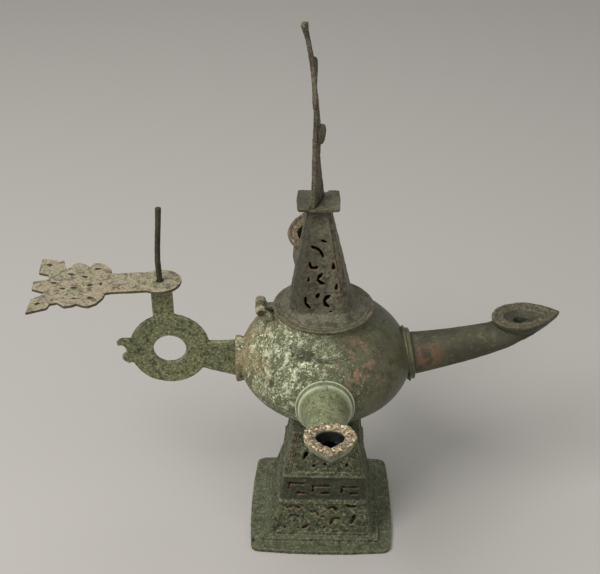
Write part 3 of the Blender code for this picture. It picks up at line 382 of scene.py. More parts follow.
def bowl_profile():
    """From the middle of the foot up the outside, over the collar and down the inside."""
    foot = bowl_height(NECK_RADIUS, False)
    shoulder = bowl_height(COLLAR_RADIUS + 0.6 * MM, True)
    low = (foot - BOWL_MIDDLE) / BOWL_DROP
    high = (shoulder - BOWL_MIDDLE) / BOWL_RISE
    points = [(0.002, foot), (0.010, foot)]
    points += bowl_curve(low, ENGRAVED[0], 92)[:-1]
    points += bowl_curve(ENGRAVED[0], ENGRAVED[1], 56)[:-1]
    points += bowl_curve(ENGRAVED[1], high, 16)
    fillet = [(0.25, 0.25), (0.05, 0.6), (0.0, 1.0)]
    points += [(COLLAR_RADIUS + out * MM, shoulder + up * MM) for out, up in fillet]
    points += [(COLLAR_RADIUS, COLLAR_TOP - 0.5 * MM), (COLLAR_RADIUS - 0.15 * MM, COLLAR_TOP - 0.15 * MM)]
    points += [(COLLAR_RADIUS - 0.5 * MM, COLLAR_TOP), (MOUTH_RADIUS + 0.5 * MM, COLLAR_TOP)]
    points += [(MOUTH_RADIUS, COLLAR_TOP - 0.5 * MM)]
    inner_top = bowl_height(MOUTH_RADIUS, True, BOWL_WALL)
    inner_foot = bowl_height(0.004, False, BOWL_WALL)
    top = (inner_top - BOWL_MIDDLE) / (BOWL_RISE - BOWL_WALL)
    bottom = (inner_foot - BOWL_MIDDLE) / (BOWL_DROP - BOWL_WALL)
    points += bowl_curve(bottom, top, 30, BOWL_WALL)[::-1]
    return points


def bowl_angles():
    """Bearings round the bowl, five times as close on the side that the photograph shows."""
    seen = np.linspace(-165, -25, 290, endpoint=False)
    rest = np.linspace(-25, 195, 90, endpoint=False)
    return np.radians(np.concatenate([seen, rest]))


def stroke(points, start, end, sag, width):
    """How far a cut along a bent line from one bearing and height to another reaches each point."""
    bearing = np.degrees(np.arctan2(points[:, 1], points[:, 0] - BOWL_SHIFT))
    across = (bearing - start[0]) / (end[0] - start[0])
    height = start[1] + (end[1] - start[1]) * across + sag * 4 * across * (1 - across)
    inside = ease(0.0, 0.10, across) * ease(0.0, 0.35, 1 - across)
    return np.exp(-((points[:, 2] - height) / width) ** 2) * inside


def engraving(points):
    """The worn strokes on the shoulder: a fan like a wing, and a fainter one that answers it."""
    cut = np.zeros(len(points))
    for i in range(6):
        start = (-131 + 0.9 * i, 0.1341 - 0.00055 * i)
        end = (-96 + 2.6 * i, 0.1327 - 0.00046 * i)
        cut = np.maximum(cut, stroke(points, start, end, 0.45 * MM - 0.16 * MM * i, 0.24 * MM))
    for i in range(4):
        start = (-106 + 3.0 * i, 0.1315 - 0.0004 * i)
        end = (-74 + 2.0 * i, 0.1336 - 0.00072 * i)
        cut = np.maximum(cut, 0.75 * stroke(points, start, end, -0.6 * MM, 0.21 * MM))
    for i in range(3):
        start = (-64 + 2.0 * i, 0.1345 - 0.0007 * i)
        end = (-50 + 2.0 * i, 0.1337 - 0.0008 * i)
        cut = np.maximum(cut, 0.5 * stroke(points, start, end, 0.3 * MM, 0.15 * MM))
    return cut * (0.55 + 0.45 * ease(-0.4, 0.2, noise(points, 0.005, 91)))


def gash(points):
    """The deep cut on the left."""
    away = np.linalg.norm((points - GASH_AT) / GASH_HALF, axis=1)
    return np.exp(-away ** 4)


def dents(points):
    """The dent on the left with the cut in it."""
    away = np.linalg.norm((points - DENT_AT) / DENT_HALF, axis=1)
    return -DENT_DEPTH * np.exp(-away ** 2) - GASH_DEPTH * gash(points)


def side_ring(out, up, wide, tall, sides, lean=0.0):
    """An upright ring of points that faces +X, leant back by a slope."""
    angles = 2 * np.pi * np.arange(sides) / sides
    rise = tall * np.sin(angles)
    return np.stack([out - rise * lean, wide * np.cos(angles), up + rise], axis=1)


def raised_collar(out, up, radius, width, tilt):
    """A ring that stands proud round a tube, with its front at a distance out along +X."""
    lean = math.tan(math.radians(tilt))
    rings = []
    for step, share in COLLAR_STEPS:
        rings.append(side_ring(out + step * width, up, radius * share, radius * share, COLLAR_SIDES, lean))
    return loft("collar", rings)


def spun(mesh, degrees):
    mesh.transform(Matrix.Rotation(math.radians(degrees), 4, "Z"))
    return mesh


def knuckle(low, high, radius):
    """A barrel of the hinge, from one distance along its axis to another."""
    angles = 2 * np.pi * np.arange(32) / 32
    out, rise = radius * np.cos(angles) - HINGE_REACH, radius * np.sin(angles) + HINGE_HEIGHT
    circle = np.stack([out, 0 * angles, rise], axis=1)
    rings = []
    for at, share in ((low, 0.86), (low + 0.4 * MM, 1.0), (high - 0.4 * MM, 1.0), (high, 0.86)):
        middle = np.array((-HINGE_REACH, 0, HINGE_HEIGHT))
        rings.append((circle - middle) * share + middle + (0, at, 0))
    return loft("knuckle", rings)


def ear(low, high):
    """A leg that leans from an outer knuckle down to the bowl's shoulder."""
    half = BARREL_RADIUS * 0.82
    shoulder = bowl_height(COLLAR_RADIUS, True)
    foot = shoulder - BARREL_RADIUS * 0.6
    outline = [(-HINGE_REACH - half, HINGE_HEIGHT), (-COLLAR_RADIUS - half * 0.5, foot),
               (-COLLAR_RADIUS + half, foot), (-HINGE_REACH + half, HINGE_HEIGHT)]
    return loft("ear", [[(x, y, z) for x, z in outline] for y in (low, high)])


def place_on_axis(obj):
    obj.data.transform(Matrix.Translation((AXIS_X, AXIS_Y, 0)))
    return obj


def make_bowl(material):
    """The hollow bowl in one turned skin, and the collars, socket and hinge ears cast on it."""
    angles = bowl_angles()
    shoulder = bowl_height(COLLAR_RADIUS, True)
    rings = []
    for radius, height in bowl_profile():
        towards = float(ease(shoulder - 6 * MM, shoulder, height))
        x = BOWL_SHIFT + (COLLAR_SHIFT - BOWL_SHIFT) * towards
        level = np.full(len(angles), height)
        rings.append(np.stack([x + radius * np.cos(angles), radius * np.sin(angles), level], axis=1))
    bowl = make_object("bowl", loft("bowl", rings))
    channels = []
    for turn, reach, height, length, rise in NOZZLES.values():
        channels.append(spun(channel(reach, height, length, rise), turn))
    combine(bowl, channels, "DIFFERENCE")
    points = coordinates(bowl)
    outside = ease(-0.6, 0.0, (normals(bowl) * (points - (0, 0, BOWL_MIDDLE))).sum(axis=1) / BOWL_RADIUS)
    crusted = ease(-0.1, 0.7, points @ (-0.62, -0.66, 0.42) / BOWL_RADIUS - 0.42 * BOWL_MIDDLE / BOWL_RADIUS)
    cut = engraving(points) * outside
    lumps = fractal(points, 0.0016, 97, 2) * crusted * 0.14 * MM
    relief(bowl, (dents(points) - cut * ENGRAVED_DEPTH + lumps) * outside)
    # Marks the engraved strokes and the gash, which the bowl's material darkens with painted shade
    mark(bowl, "cut", np.maximum(cut, 0.8 * gash(points)))
    corrode(bowl, 0.9, 3, 0.8)
    place_on_axis(bowl)
    piece(bowl, "lamp_body", material)
    inner, outer = KNUCKLE_WIDTH / 2 + GAP, BARREL_LENGTH / 2
    socket = raised_collar(SOCKET_OUT, SOCKET_HEIGHT, SOCKET_RADIUS, SOCKET_WIDTH / 2, 0)
    fittings = make_object("bowl_fittings", socket)
    spun(fittings.data, 180)
    solids = []
    for low, high in ((-outer, -inner), (inner, outer)):
        solids += [ear(low, high), knuckle(low, high, BARREL_RADIUS)]
    for turn, reach, height, _, _ in NOZZLES.values():
        share = (RING_OUT - NOZZLE_ROOT) / (reach - NOZZLE_ROOT)
        up = tube_path(reach, height, share)[1]
        wide = NOZZLE_ROOT_RADIUS + RING_PROUD
        solids.append(spun(raised_collar(RING_OUT, up, wide, RING_WIDTH, RING_TILT), turn))
        flange = raised_collar(RING_OUT - RING_WIDTH, up, wide * FLANGE_SHARE, FLANGE_WIDTH, RING_TILT)
        solids.append(spun(flange, turn))
    join(fittings, solids)
    remesh(fittings, FITTINGS_SKIN, 2)
    points = coordinates(fittings)
    mark(fittings, "ring", ease(-0.034, -0.042, points[:, 1]) * ease(0.098, 0.106, points[:, 2]))
    corrode(fittings, 0.8, 11, 0.6)
    place_on_axis(thin_out(fittings, FITTINGS_MOST))
    piece(fittings, "lamp_body", material)


# Nozzles

def tube_path(reach, height, share):
    """How far out and up a nozzle's middle line is, at a share of its length from the root."""
    end = height - MOUTH_DEPTH - NOZZLE_TIP_RADIUS
    along = NOZZLE_ROOT + (reach - NOZZLE_ROOT) * share
    return along, NOZZLE_ROOT_HEIGHT + (end - NOZZLE_ROOT_HEIGHT) * (0.55 * share + 0.45 * share ** 2)


def keel_height(height, length, rise, share):
    """The underside's height at a share of the mouth's length."""
    start = height - MOUTH_DEPTH - 2 * NOZZLE_TIP_RADIUS
    tip = height + math.tan(math.radians(rise)) * length - 0.42 * MOUTH_DEPTH
    return start + (tip - start) * (0.8 * share + 0.2 * share ** 3)


def mouth_outline(length, half, steps):
    """A leaf with its point outwards, as distances along and across."""
    points = []
    for a in 2 * np.pi * np.arange(steps) / steps:
        u = 0.5 - 0.5 * math.cos(a)
        if u < MOUTH_FULLEST:
            width = math.sqrt(max(0, 1 - ((MOUTH_FULLEST - u) / MOUTH_FULLEST) ** 2))
        else:
            width = math.cos(math.pi / 2 * (u - MOUTH_FULLEST) / (1 - MOUTH_FULLEST)) ** 0.85
        points.append((u * length, math.copysign(half * width, math.sin(a))))
    return points


def mouth_level(frame_at, length, share, depth, steps=96):
    """The mouth's outline drawn in by a share at a depth under the rim."""
    middle = length * MOUTH_FULLEST
    outline = mouth_outline(length, MOUTH_HALF, steps)
    return [frame_at @ Vector((middle + (u - middle) * share, v * share, -depth)) for u, v in outline]


def mouth_loft(frame_at, length, levels):
    return loft("mouth", [mouth_level(frame_at, length, share, depth * MM) for share, depth in levels])


def channel(reach, height, length, rise):
    """The oil way from inside the bowl to the mouth."""
    rings = []
    for share in np.linspace(-0.2, 0.95, 12):
        along, up = tube_path(reach, height, share)
        size = NOZZLE_ROOT_RADIUS + (NOZZLE_TIP_RADIUS - NOZZLE_ROOT_RADIUS) * share - NOZZLE_WALL
        rings.append(side_ring(along, up, size, size, 32))
    for share, wide in ((0.14, 0.60), (0.30, 0.50), (0.40, 0.42)):
        size = NOZZLE_TIP_RADIUS * wide
        up = keel_height(height, length, rise, share) + NOZZLE_WALL + size
        rings.append(side_ring(reach + share * length, up, size, size, 32))
    return loft("channel", rings)


# Each nozzle's rim: the dish in it, the lip round its hole and the hole, as (share, depth in mm) levels
RIMS = {
    "front": (
        ((0.90, -1.0), (0.88, 0.0), (0.70, 0.35), (0.55, 0.9)),
        None,
        ((0.56, -1.0), (0.56, 0.6), (0.53, 1.4), (0.50, 6.5), (0.34, 10.5)),
    ),
    "side": (
        ((0.88, -1.0), (0.87, 0.0), (0.85, 0.45), (0.80, 0.75), (0.60, 1.2)),
        ((0.72, 2.4), (0.71, 0.75), (0.69, 0.4), (0.62, 0.5)),
        ((0.60, -1.0), (0.60, 0.5), (0.55, 1.5), (0.40, 2.5), (0.22, 3.2), (0.20, 10.5)),
    ),
    "back": (
        ((0.86, -1.0), (0.86, 0.0), (0.83, 0.5), (0.79, 0.9), (0.60, 1.2)),
        ((0.66, 2.4), (0.64, 0.9), (0.62, 0.5), (0.56, 0.5)),
        ((0.53, -1.0), (0.53, 0.9), (0.50, 1.8), (0.42, 6.0), (0.30, 10.5)),
    ),
}


def make_nozzle(name, material, crust, lumps):
    """Tube, keel and cup in one skin, with its rim, its wick hole and the oil way."""
    turn, reach, height, length, rise = NOZZLES[name]
    dish, lip, hole = RIMS[name]
    rings = []
    for share in np.linspace(0, 1, 24):
        along, up = tube_path(reach, height, share)
        size = NOZZLE_ROOT_RADIUS + (NOZZLE_TIP_RADIUS - NOZZLE_ROOT_RADIUS) * share
        rings.append(side_ring(along, up, size, size, 64))
    slope = math.tan(math.radians(rise))
    for share in np.linspace(0.2, 0.95, 16):
        rim = height + slope * share * length - MOUTH_DEPTH * 0.45
        low = keel_height(height, length, rise, share)
        wide = MOUTH_HALF * (0.80 - 0.74 * share ** 2.2)
        rings.append(side_ring(reach + share * length, (rim + low) / 2, wide, (rim - low) / 2, 64))
    at = Matrix.Translation((reach, 0, height)) @ Matrix.Rotation(-math.radians(rise), 4, "Y")
    cup = ((0.60, 8.4), (0.84, 5.5), (0.965, 2.9), (1.0, 1.3), (1.0, 0.5), (0.985, 0.1), (0.965, 0.0))
    obj = make_object(f"{name}_nozzle", loft("tube", rings))
    combine(obj, [mouth_loft(at, length, cup)], "UNION")
    combine(obj, [mouth_loft(at, length, dish)], "DIFFERENCE")
    if lip:
        combine(obj, [mouth_loft(at, length, lip)], "UNION")
    combine(obj, [mouth_loft(at, length, hole), channel(reach, height, length, rise)], "DIFFERENCE")
    remesh(obj, NOZZLE_SKIN, 2)
    points = coordinates(obj)
    local = (points - (reach, 0, height)) @ np.array(at.to_3x3())
    rim = ease(-2.2 * MM, -0.4 * MM, local[:, 2]) * ease(-2 * MM, 0, local[:, 0])
    middle = (local[:, 0] - length * MOUTH_FULLEST) / (length * 0.5)
    within = np.hypot(middle, local[:, 1] / MOUTH_HALF)
    # Soot and painted shade: below the rim, the wick hole is painted near black where it lies in shade
    soot_and_shade = ease(-0.6 * MM, -2.2 * MM, local[:, 2]) * ease(0.80, 0.62, within) * ease(0, 2 * MM, local[:, 0])
    eaten = fractal(points, 0.0030, 41 + len(name)) * 0.50 * MM
    eaten -= ease(0.15, 0.6, noise(points, 0.0016, 55)) * 0.65 * MM
    relief(obj, rim * crust * eaten + fractal(points, 0.0024, 57) * ease(0.75, 0.55, within) * lumps * MM)
    mark(obj, "rim", rim)
    mark(obj, "soot_and_shade", soot_and_shade)
    corrode(obj, 0.8, 21 + len(name), 0.7)
    spun(obj.data, turn)
    place_on_axis(thin_out(obj, NOZZLE_MOST))
    piece(obj, "lamp_body", material)


# Materials

class Patina:
    """Builds a node material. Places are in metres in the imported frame."""

    def __init__(self, name, metallic=0.12):
        self.material = bpy.data.materials.new(name)
        self.material.use_nodes = True
        self.tree = self.material.node_tree
        self.shader = self.tree.nodes["Principled BSDF"]
        self.shader.inputs["Metallic"].default_value = metallic
        self.place = self.tree.nodes.new("ShaderNodeTexCoord").outputs["Object"]

    def node(self, kind, **settings):
        made = self.tree.nodes.new(kind)
        for key, value in settings.items():
            setattr(made, key, value)
        return made

    def link(self, source, target):
        if isinstance(source, (int, float)):
            target.default_value = source
        elif isinstance(source, tuple):
            short = len(source) == 3 and len(target.default_value) == 4
            target.default_value = (*source, 1.0) if short else source
        else:
            self.tree.links.new(source, target)

    def noise(self, size, detail=4.0, rough=0.6, seed=0.0):
        made = self.node("ShaderNodeTexNoise")
        made.inputs["Scale"].default_value = 1 / size
        made.inputs["Detail"].default_value = detail
        made.inputs["Roughness"].default_value = rough
        moved = self.node("ShaderNodeVectorMath", operation="ADD")
        self.link(self.place, moved.inputs[0])
        moved.inputs[1].default_value = (seed, seed * 0.37, -seed)
        self.link(moved.outputs[0], made.inputs["Vector"])
        return made.outputs["Fac"]

    def band(self, value, low, high, bottom=0.0, top=1.0):
        made = self.node("ShaderNodeMapRange", interpolation_type="SMOOTHSTEP")
        self.link(value, made.inputs["Value"])
        for key, number in (("From Min", low), ("From Max", high), ("To Min", bottom), ("To Max", top)):
            made.inputs[key].default_value = number
        return made.outputs["Result"]

    def math(self, operation, a, b=0.0):
        made = self.node("ShaderNodeMath", operation=operation)
        self.link(a, made.inputs[0])
        self.link(b, made.inputs[1])
        return made.outputs[0]

    def near(self, middle, radius, soft=0.6):
        """1 inside a ball of this radius round a place, fading out over its soft share."""
        away = self.node("ShaderNodeVectorMath", operation="DISTANCE")
        self.link(self.place, away.inputs[0])
        away.inputs[1].default_value = middle
        return self.band(away.outputs["Value"], radius * (1 - soft), radius, 1.0, 0.0)

    def along(self, direction, low, high):
        """0 to 1 along a direction between two distances from the origin."""
        dot = self.node("ShaderNodeVectorMath", operation="DOT_PRODUCT")
        self.link(self.place, dot.inputs[0])
        dot.inputs[1].default_value = direction
        return self.band(dot.outputs["Value"], low, high)

    def marked(self, name):
        return self.node("ShaderNodeAttribute", attribute_name=name).outputs["Fac"]

    def upright(self):
        """1 where the surface stands upright, 0 where it lies flat."""
        normal = self.node("ShaderNodeSeparateXYZ")
        self.link(self.node("ShaderNodeNewGeometry").outputs["Normal"], normal.inputs[0])
        return self.band(self.math("ABSOLUTE", normal.outputs["Z"]), 0.45, 0.80, 1.0, 0.0)

    def edges(self, low=0.51, high=0.56):
        return self.band(self.node("ShaderNodeNewGeometry").outputs["Pointiness"], low, high)

    def mix(self, share, a, b):
        made = self.node("ShaderNodeMix", data_type="RGBA")
        self.link(share, made.inputs["Factor"])
        self.link(a, made.inputs["A"])
        self.link(b, made.inputs["B"])
        return made.outputs["Result"]

    def finish(self, colour, rough, bump, strength=0.5, depth=0.4 * MM):
        self.link(colour, self.shader.inputs["Base Color"])
        self.link(rough, self.shader.inputs["Roughness"])
        made = self.node("ShaderNodeBump")
        made.inputs["Strength"].default_value = strength
        made.inputs["Distance"].default_value = depth
        self.link(bump, made.inputs["Height"])
        self.link(made.outputs["Normal"], self.shader.inputs["Normal"])
        return self.material


OLIVE = (0.100, 0.098, 0.048)
DARK_OLIVE = (0.040, 0.042, 0.020)
SMOOTH_OLIVE = (0.070, 0.069, 0.036)
MID_GREEN = (0.140, 0.165, 0.080)
PALE_GREEN = (0.420, 0.480, 0.300)
CREAM = (0.720, 0.700, 0.500)
RED_BROWN = (0.170, 0.075, 0.042)
ORANGE = (0.330, 0.155, 0.060)
AMBER = (0.300, 0.220, 0.085)
BLACK_GREEN = (0.014, 0.016, 0.009)
GREY_BROWN = (0.130, 0.112, 0.072)
BUFF = (0.370, 0.305, 0.200)
STAIN_BROWN = (0.270, 0.185, 0.090)
# The front ring's darker green, which is its own green and also painted shade in the grooves between its
# ridges
RING_GREEN_AND_GROOVE_SHADE = (0.150, 0.165, 0.090)
RING_PALE = (0.500, 0.540, 0.370)
# Near black for soot and for the painted shade deep in the wick holes
SOOT_AND_SHADE = (0.003, 0.003, 0.0025)
# Near black for the painted shade in the bowl's engraved strokes and gash
CUT_SHADE = (0.030, 0.032, 0.018)
# Painted shade for a flat plate's side walls
WALL_SHADE = (0.050, 0.042, 0.024)

# Crusts, from their dark hollows to their brightest grains
BOWL_CRUST = ((0.048, 0.052, 0.024), (0.150, 0.168, 0.086), (0.360, 0.395, 0.245), (0.800, 0.810, 0.600))
FRONT_CRUST = ((0.075, 0.055, 0.030), (0.230, 0.165, 0.095), (0.500, 0.410, 0.270), (0.800, 0.720, 0.500))
SIDE_CRUST = ((0.035, 0.032, 0.018), (0.085, 0.075, 0.042), (0.120, 0.105, 0.062), (0.190, 0.160, 0.100))
BACK_CRUST = ((0.040, 0.032, 0.018), (0.120, 0.095, 0.053), (0.215, 0.170, 0.105), (0.380, 0.310, 0.190))

# Red-brown patch of the side nozzle. The other two have none, so theirs is far above the lamp.
SIDE_PATCH = ((AXIS_X + 0.058, AXIS_Y - 0.012, 0.114), 0.013)
NO_PATCH = ((0, 0, 1), 0.001)

# Nozzles' finishes, with how strongly the soot and the painted shade show in the wick hole
NOZZLE_FINISHES = {
    "front": dict(
        tube=(0.235, 0.255, 0.130), second=(0.165, 0.185, 0.095), rim=FRONT_CRUST,
        fleck=0.65, patch=NO_PATCH, soot_and_shade=1.0,
    ),
    "side": dict(
        tube=(0.058, 0.057, 0.029), second=(0.040, 0.040, 0.021), rim=SIDE_CRUST,
        fleck=0.10, patch=SIDE_PATCH, soot_and_shade=0.15,
    ),
    "back": dict(
        tube=OLIVE, second=GREY_BROWN, rim=BACK_CRUST,
        fleck=0.15, patch=NO_PATCH, soot_and_shade=0.9,
    ),
}

# Finishes of the other castings
FINISHES = {
    "stand_patina": dict(
        base=(0.062, 0.064, 0.031), second=(0.098, 0.104, 0.052), dark=(0.018, 0.019, 0.010),
        edge=ORANGE, edge_share=0.40, fleck=(0.30, 0.34, 0.20), fleck_share=0.50,
        # The stand's flat tops get painted top light
        shade=(((0, 0, 1), 0.0255, 0.0275), ((0, 0, -1), -0.0425, -0.0405)), grain=0.50, painted_top_light=0.13,
    ),
    "handle_patina": dict(
        base=(0.200, 0.210, 0.098), second=(0.150, 0.158, 0.074), dark=(0.044, 0.046, 0.022),
        edge=PALE_GREEN, edge_share=0.35, fleck=(0.42, 0.45, 0.27), fleck_share=0.55,
    ),
    "plate_patina": dict(
        base=BUFF, second=(0.300, 0.285, 0.185), dark=(0.100, 0.082, 0.048),
        edge=CREAM, edge_share=0.30, fleck=(0.52, 0.50, 0.37), fleck_share=0.50,
        # The plate's side walls get painted shade
        rough=(0.7, 0.9), walls=0.85,
    ),
    "dark_patina": dict(
        base=(0.038, 0.036, 0.018), second=(0.050, 0.047, 0.023), dark=BLACK_GREEN,
        edge=GREY_BROWN, edge_share=0.3, fleck=PALE_GREEN, fleck_share=0.08,
    ),
    "lid_patina": dict(
        base=(0.095, 0.088, 0.050), second=(0.135, 0.118, 0.075), dark=(0.030, 0.030, 0.016),
        edge=ORANGE, edge_share=0.40, fleck=(0.25, 0.26, 0.16), fleck_share=0.30,
        # The lid's flat tops, its cap most, get painted top light
        rough=(0.36, 0.60), shade=(((-1, 0, 0), -0.016, 0.004), ((0, 0, 1), 0.146, 0.152)), painted_top_light=0.08,
    ),
    "finial_patina": dict(
        base=(0.066, 0.060, 0.034), second=(0.115, 0.100, 0.064), dark=(0.026, 0.025, 0.014),
        edge=ORANGE, edge_share=0.35, fleck=BUFF, fleck_share=0.35,
    ),
}


def speckle(p, dark, mid, light, spark, seed=0.0, size=0.0011):
    """Fine crust: dark hollows, a mid green, light grains and the odd bright one."""
    grain = p.noise(size, 3, 0.75, 6.0 + seed)
    colour = p.mix(p.band(grain, 0.38, 0.50), dark, mid)
    colour = p.mix(p.band(grain, 0.48, 0.62), colour, light)
    return p.mix(p.band(p.noise(size * 1.5, 2, 0.8, 8.0 + seed), 0.57, 0.66), colour, spark)


def bowl_patina():
    """Pale speckled crust on the left, dark smooth patina with red-brown patches on the right."""
    p = Patina("bowl_patina")
    lit = p.along((-0.72, -0.55, 0.42), 0.036, 0.096)
    side = p.math("ADD", lit, p.math("MULTIPLY", p.math("SUBTRACT", p.noise(0.022, 4, 0.6), 0.5), 1.5))
    pale = p.band(side, 0.22, 0.78)
    base = p.mix(p.band(p.noise(0.016, 5, 0.65, 1.0), 0.36, 0.64), SMOOTH_OLIVE, OLIVE)
    base = p.mix(p.band(p.noise(0.0055, 4, 0.65, 2.0), 0.50, 0.62, 0.0, 0.65), base, DARK_OLIVE)
    green = p.band(p.noise(0.0026, 4, 0.7, 14.0), 0.52, 0.64)
    base = p.mix(p.math("MULTIPLY", green, p.band(side, -0.1, 0.5, 0.15, 0.8)), base, MID_GREEN)
    reds = p.band(p.noise(0.0062, 4, 0.6, 4.0), 0.50, 0.58)
    red = p.math("MULTIPLY", p.near((0.0290, -0.0400, 0.1305), 0.021, 0.8), reds)
    base = p.mix(p.math("MULTIPLY", red, 0.85), base, (0.235, 0.130, 0.082))
    crust = speckle(p, *BOWL_CRUST)
    crust = p.mix(p.band(p.noise(0.0070, 4, 0.65, 11.0), 0.49, 0.56, 0.0, 0.85), crust, (0.095, 0.097, 0.046))
    crust = p.mix(p.band(p.noise(0.0048, 4, 0.65, 31.0), 0.54, 0.62, 0.0, 0.70), crust, (0.600, 0.620, 0.430))
    crust = p.mix(p.band(p.noise(0.0040, 4, 0.65, 21.0), 0.60, 0.70, 0.0, 0.55), crust, (0.300, 0.190, 0.095))
    colour = p.mix(pale, base, crust)
    stain = p.band(p.noise(0.0085, 4, 0.65, 41.0), 0.44, 0.56)
    stain = p.math("MULTIPLY", p.along((-1, 0, 0.2), 0.036, 0.056), stain)
    colour = p.mix(p.math("MULTIPLY", stain, 0.70), colour, STAIN_BROWN)
    flecks = p.band(p.noise(0.0010, 2, 0.7, 9.0), 0.62, 0.70)
    flecks = p.math("MULTIPLY", flecks, p.band(side, -0.1, 0.4, 0.10, 0.7))
    colour = p.mix(flecks, colour, (0.60, 0.64, 0.46))
    # Front ring: pale on its ridges, and elsewhere a darker green that is partly its own colour and partly
    # painted shade in its grooves
    rim = p.math("MULTIPLY", p.marked("ring"), p.edges(0.485, 0.535))
    ring = p.mix(rim, RING_GREEN_AND_GROOVE_SHADE, RING_PALE)
    colour = p.mix(p.math("MULTIPLY", p.marked("ring"), 0.85), colour, ring)
    colour = p.mix(p.math("MULTIPLY", p.marked("pits"), 0.85), colour, DARK_OLIVE)
    # Painted shade: the engraved strokes and the gash are darkened
    colour = p.mix(p.math("MULTIPLY", p.marked("cut"), 0.90), colour, CUT_SHADE)
    rough = p.band(side, 0.0, 0.7, 0.40, 0.80)
    fine = p.math("MULTIPLY", p.noise(0.0009, 3, 0.75, 3.0), p.band(side, 0.0, 0.6, 0.35, 1.3))
    return p.finish(colour, rough, p.math("ADD", fine, p.math("MULTIPLY", p.noise(0.004, 3, 0.6), 0.6)), 0.8)


def nozzle_patina(name, tube, second, rim, fleck, patch, soot_and_shade):
    """A mottled tube, a crusted rim of four colours, and soot with painted shade in the wick hole."""
    p = Patina(name)
    base = p.mix(p.band(p.noise(0.010, 5, 0.65, 1.0), 0.38, 0.62), tube, second)
    base = p.mix(p.band(p.noise(0.0030, 4, 0.7, 5.0), 0.50, 0.64, 0.0, 0.65), base, DARK_OLIVE)
    base = p.mix(p.band(p.noise(0.0052, 4, 0.6, 15.0), 0.58, 0.68, 0.0, 0.18), base, AMBER)
    red = p.band(p.noise(0.006, 3, 0.55, 4.0), 0.46, 0.56)
    red = p.math("MULTIPLY", p.near(*patch, 0.8), red)
    base = p.mix(p.math("MULTIPLY", red, 0.6), base, RED_BROWN)
    base = p.mix(p.band(p.noise(0.0012, 3, 0.7, 9.0), 0.58, 0.68, 0.0, fleck), base, (0.56, 0.58, 0.40))
    lip = speckle(p, *rim, 3.0, 0.0013)
    patches = p.math("MULTIPLY", p.math("SUBTRACT", p.noise(0.003, 3), 0.5), 0.9)
    colour = p.mix(p.band(p.math("ADD", p.marked("rim"), patches), 0.35, 0.70), base, lip)
    colour = p.mix(p.math("MULTIPLY", p.marked("pits"), 0.8), colour, DARK_OLIVE)
    # Soot and painted shade, near black deep in the wick hole
    colour = p.mix(p.math("MULTIPLY", p.marked("soot_and_shade"), soot_and_shade), colour, SOOT_AND_SHADE)
    rough = p.band(p.noise(0.006, 3), 0.3, 0.7, 0.48, 0.80)
    bump = p.math("ADD", p.noise(0.0010, 3, 0.7, 3.0), p.math("MULTIPLY", p.noise(0.004, 3, 0.6), 0.7))
    return p.finish(colour, rough, bump, 0.75)


def plain_patina(
    name, base, second, dark, edge, edge_share, fleck, fleck_share,
    rough=(0.45, 0.75), walls=0.0, shade=None, grain=0.55, painted_top_light=0.0,
):
    """Mottled patina with worn edges, dark pits and pale flecks.

    walls darkens a flat plate's side walls as painted shade, shade holds the two directions along which it
    darkens, and the painted top light lightens what lies flat, as if lit from above.
    """
    p = Patina(name)
    colour = p.mix(p.band(p.noise(0.011, 5, 0.7, 1.0), 0.38, 0.62), base, second)
    colour = p.mix(p.band(p.noise(0.0036, 4, 0.7, 5.0), 0.48, 0.60, 0.0, 0.85), colour, dark)
    colour = p.mix(p.band(p.noise(0.0014, 3, 0.75, 19.0), 0.50, 0.60, 0.0, grain), colour, dark)
    colour = p.mix(p.band(p.noise(0.0015, 3, 0.75, 9.0), 0.52, 0.62, 0.0, fleck_share), colour, fleck)
    if shade:
        share = p.math("MULTIPLY", p.along(*shade[0]), p.along(*shade[1]))
        colour = p.mix(p.math("MULTIPLY", share, 0.72), colour, dark)
    # Painted top light: what lies flat is lightened towards the fleck colour, as if lit from above
    if painted_top_light:
        top_light_share = p.math("SUBTRACT", 1.0, p.upright())
        colour = p.mix(p.math("MULTIPLY", top_light_share, painted_top_light), colour, fleck)
    worn = p.math("MULTIPLY", p.edges(), p.band(p.noise(0.004, 3, 0.6, 2.0), 0.40, 0.56, 0.10, 1.0))
    colour = p.mix(p.math("MULTIPLY", worn, edge_share), colour, edge)
    hollows = p.band(p.node("ShaderNodeNewGeometry").outputs["Pointiness"], 0.44, 0.49, 0.75, 0.0)
    colour = p.mix(hollows, colour, dark)
    colour = p.mix(p.math("MULTIPLY", p.marked("pits"), 0.8), colour, dark)
    # Painted shade: the plate's side walls, the walls of its piercings among them, are darkened
    if walls:
        colour = p.mix(p.math("MULTIPLY", p.upright(), walls), colour, WALL_SHADE)
    mottle = p.band(p.noise(0.007, 3), 0.3, 0.7, *rough)
    height = p.math("ADD", p.noise(0.0010, 3, 0.75, 3.0), p.math("MULTIPLY", p.noise(0.0040, 3, 0.6), 0.8))
    return p.finish(colour, mottle, height, 0.85, 0.6 * MM)


def stage_material(name, colour):
    material = bpy.data.materials.new(name)
    material.use_nodes = True
    shader = material.node_tree.nodes["Principled BSDF"]
    shader.inputs["Base Color"].default_value = (*colour, 1)
    shader.inputs["Roughness"].default_value = 0.9
    return material


# Other pieces

def eaten_back(normal, turn, window, clear):
    """How far the walls of pierced openings are worn back, to show as wide as they do in the bronze."""
    turned = normal @ np.array(turn).T
    facing = np.maximum(abs(turned[:, 0]), abs(turned[:, 1]))
    return (1 - ease(0.60, 0.95, facing)) * window * clear * WORN_BACK


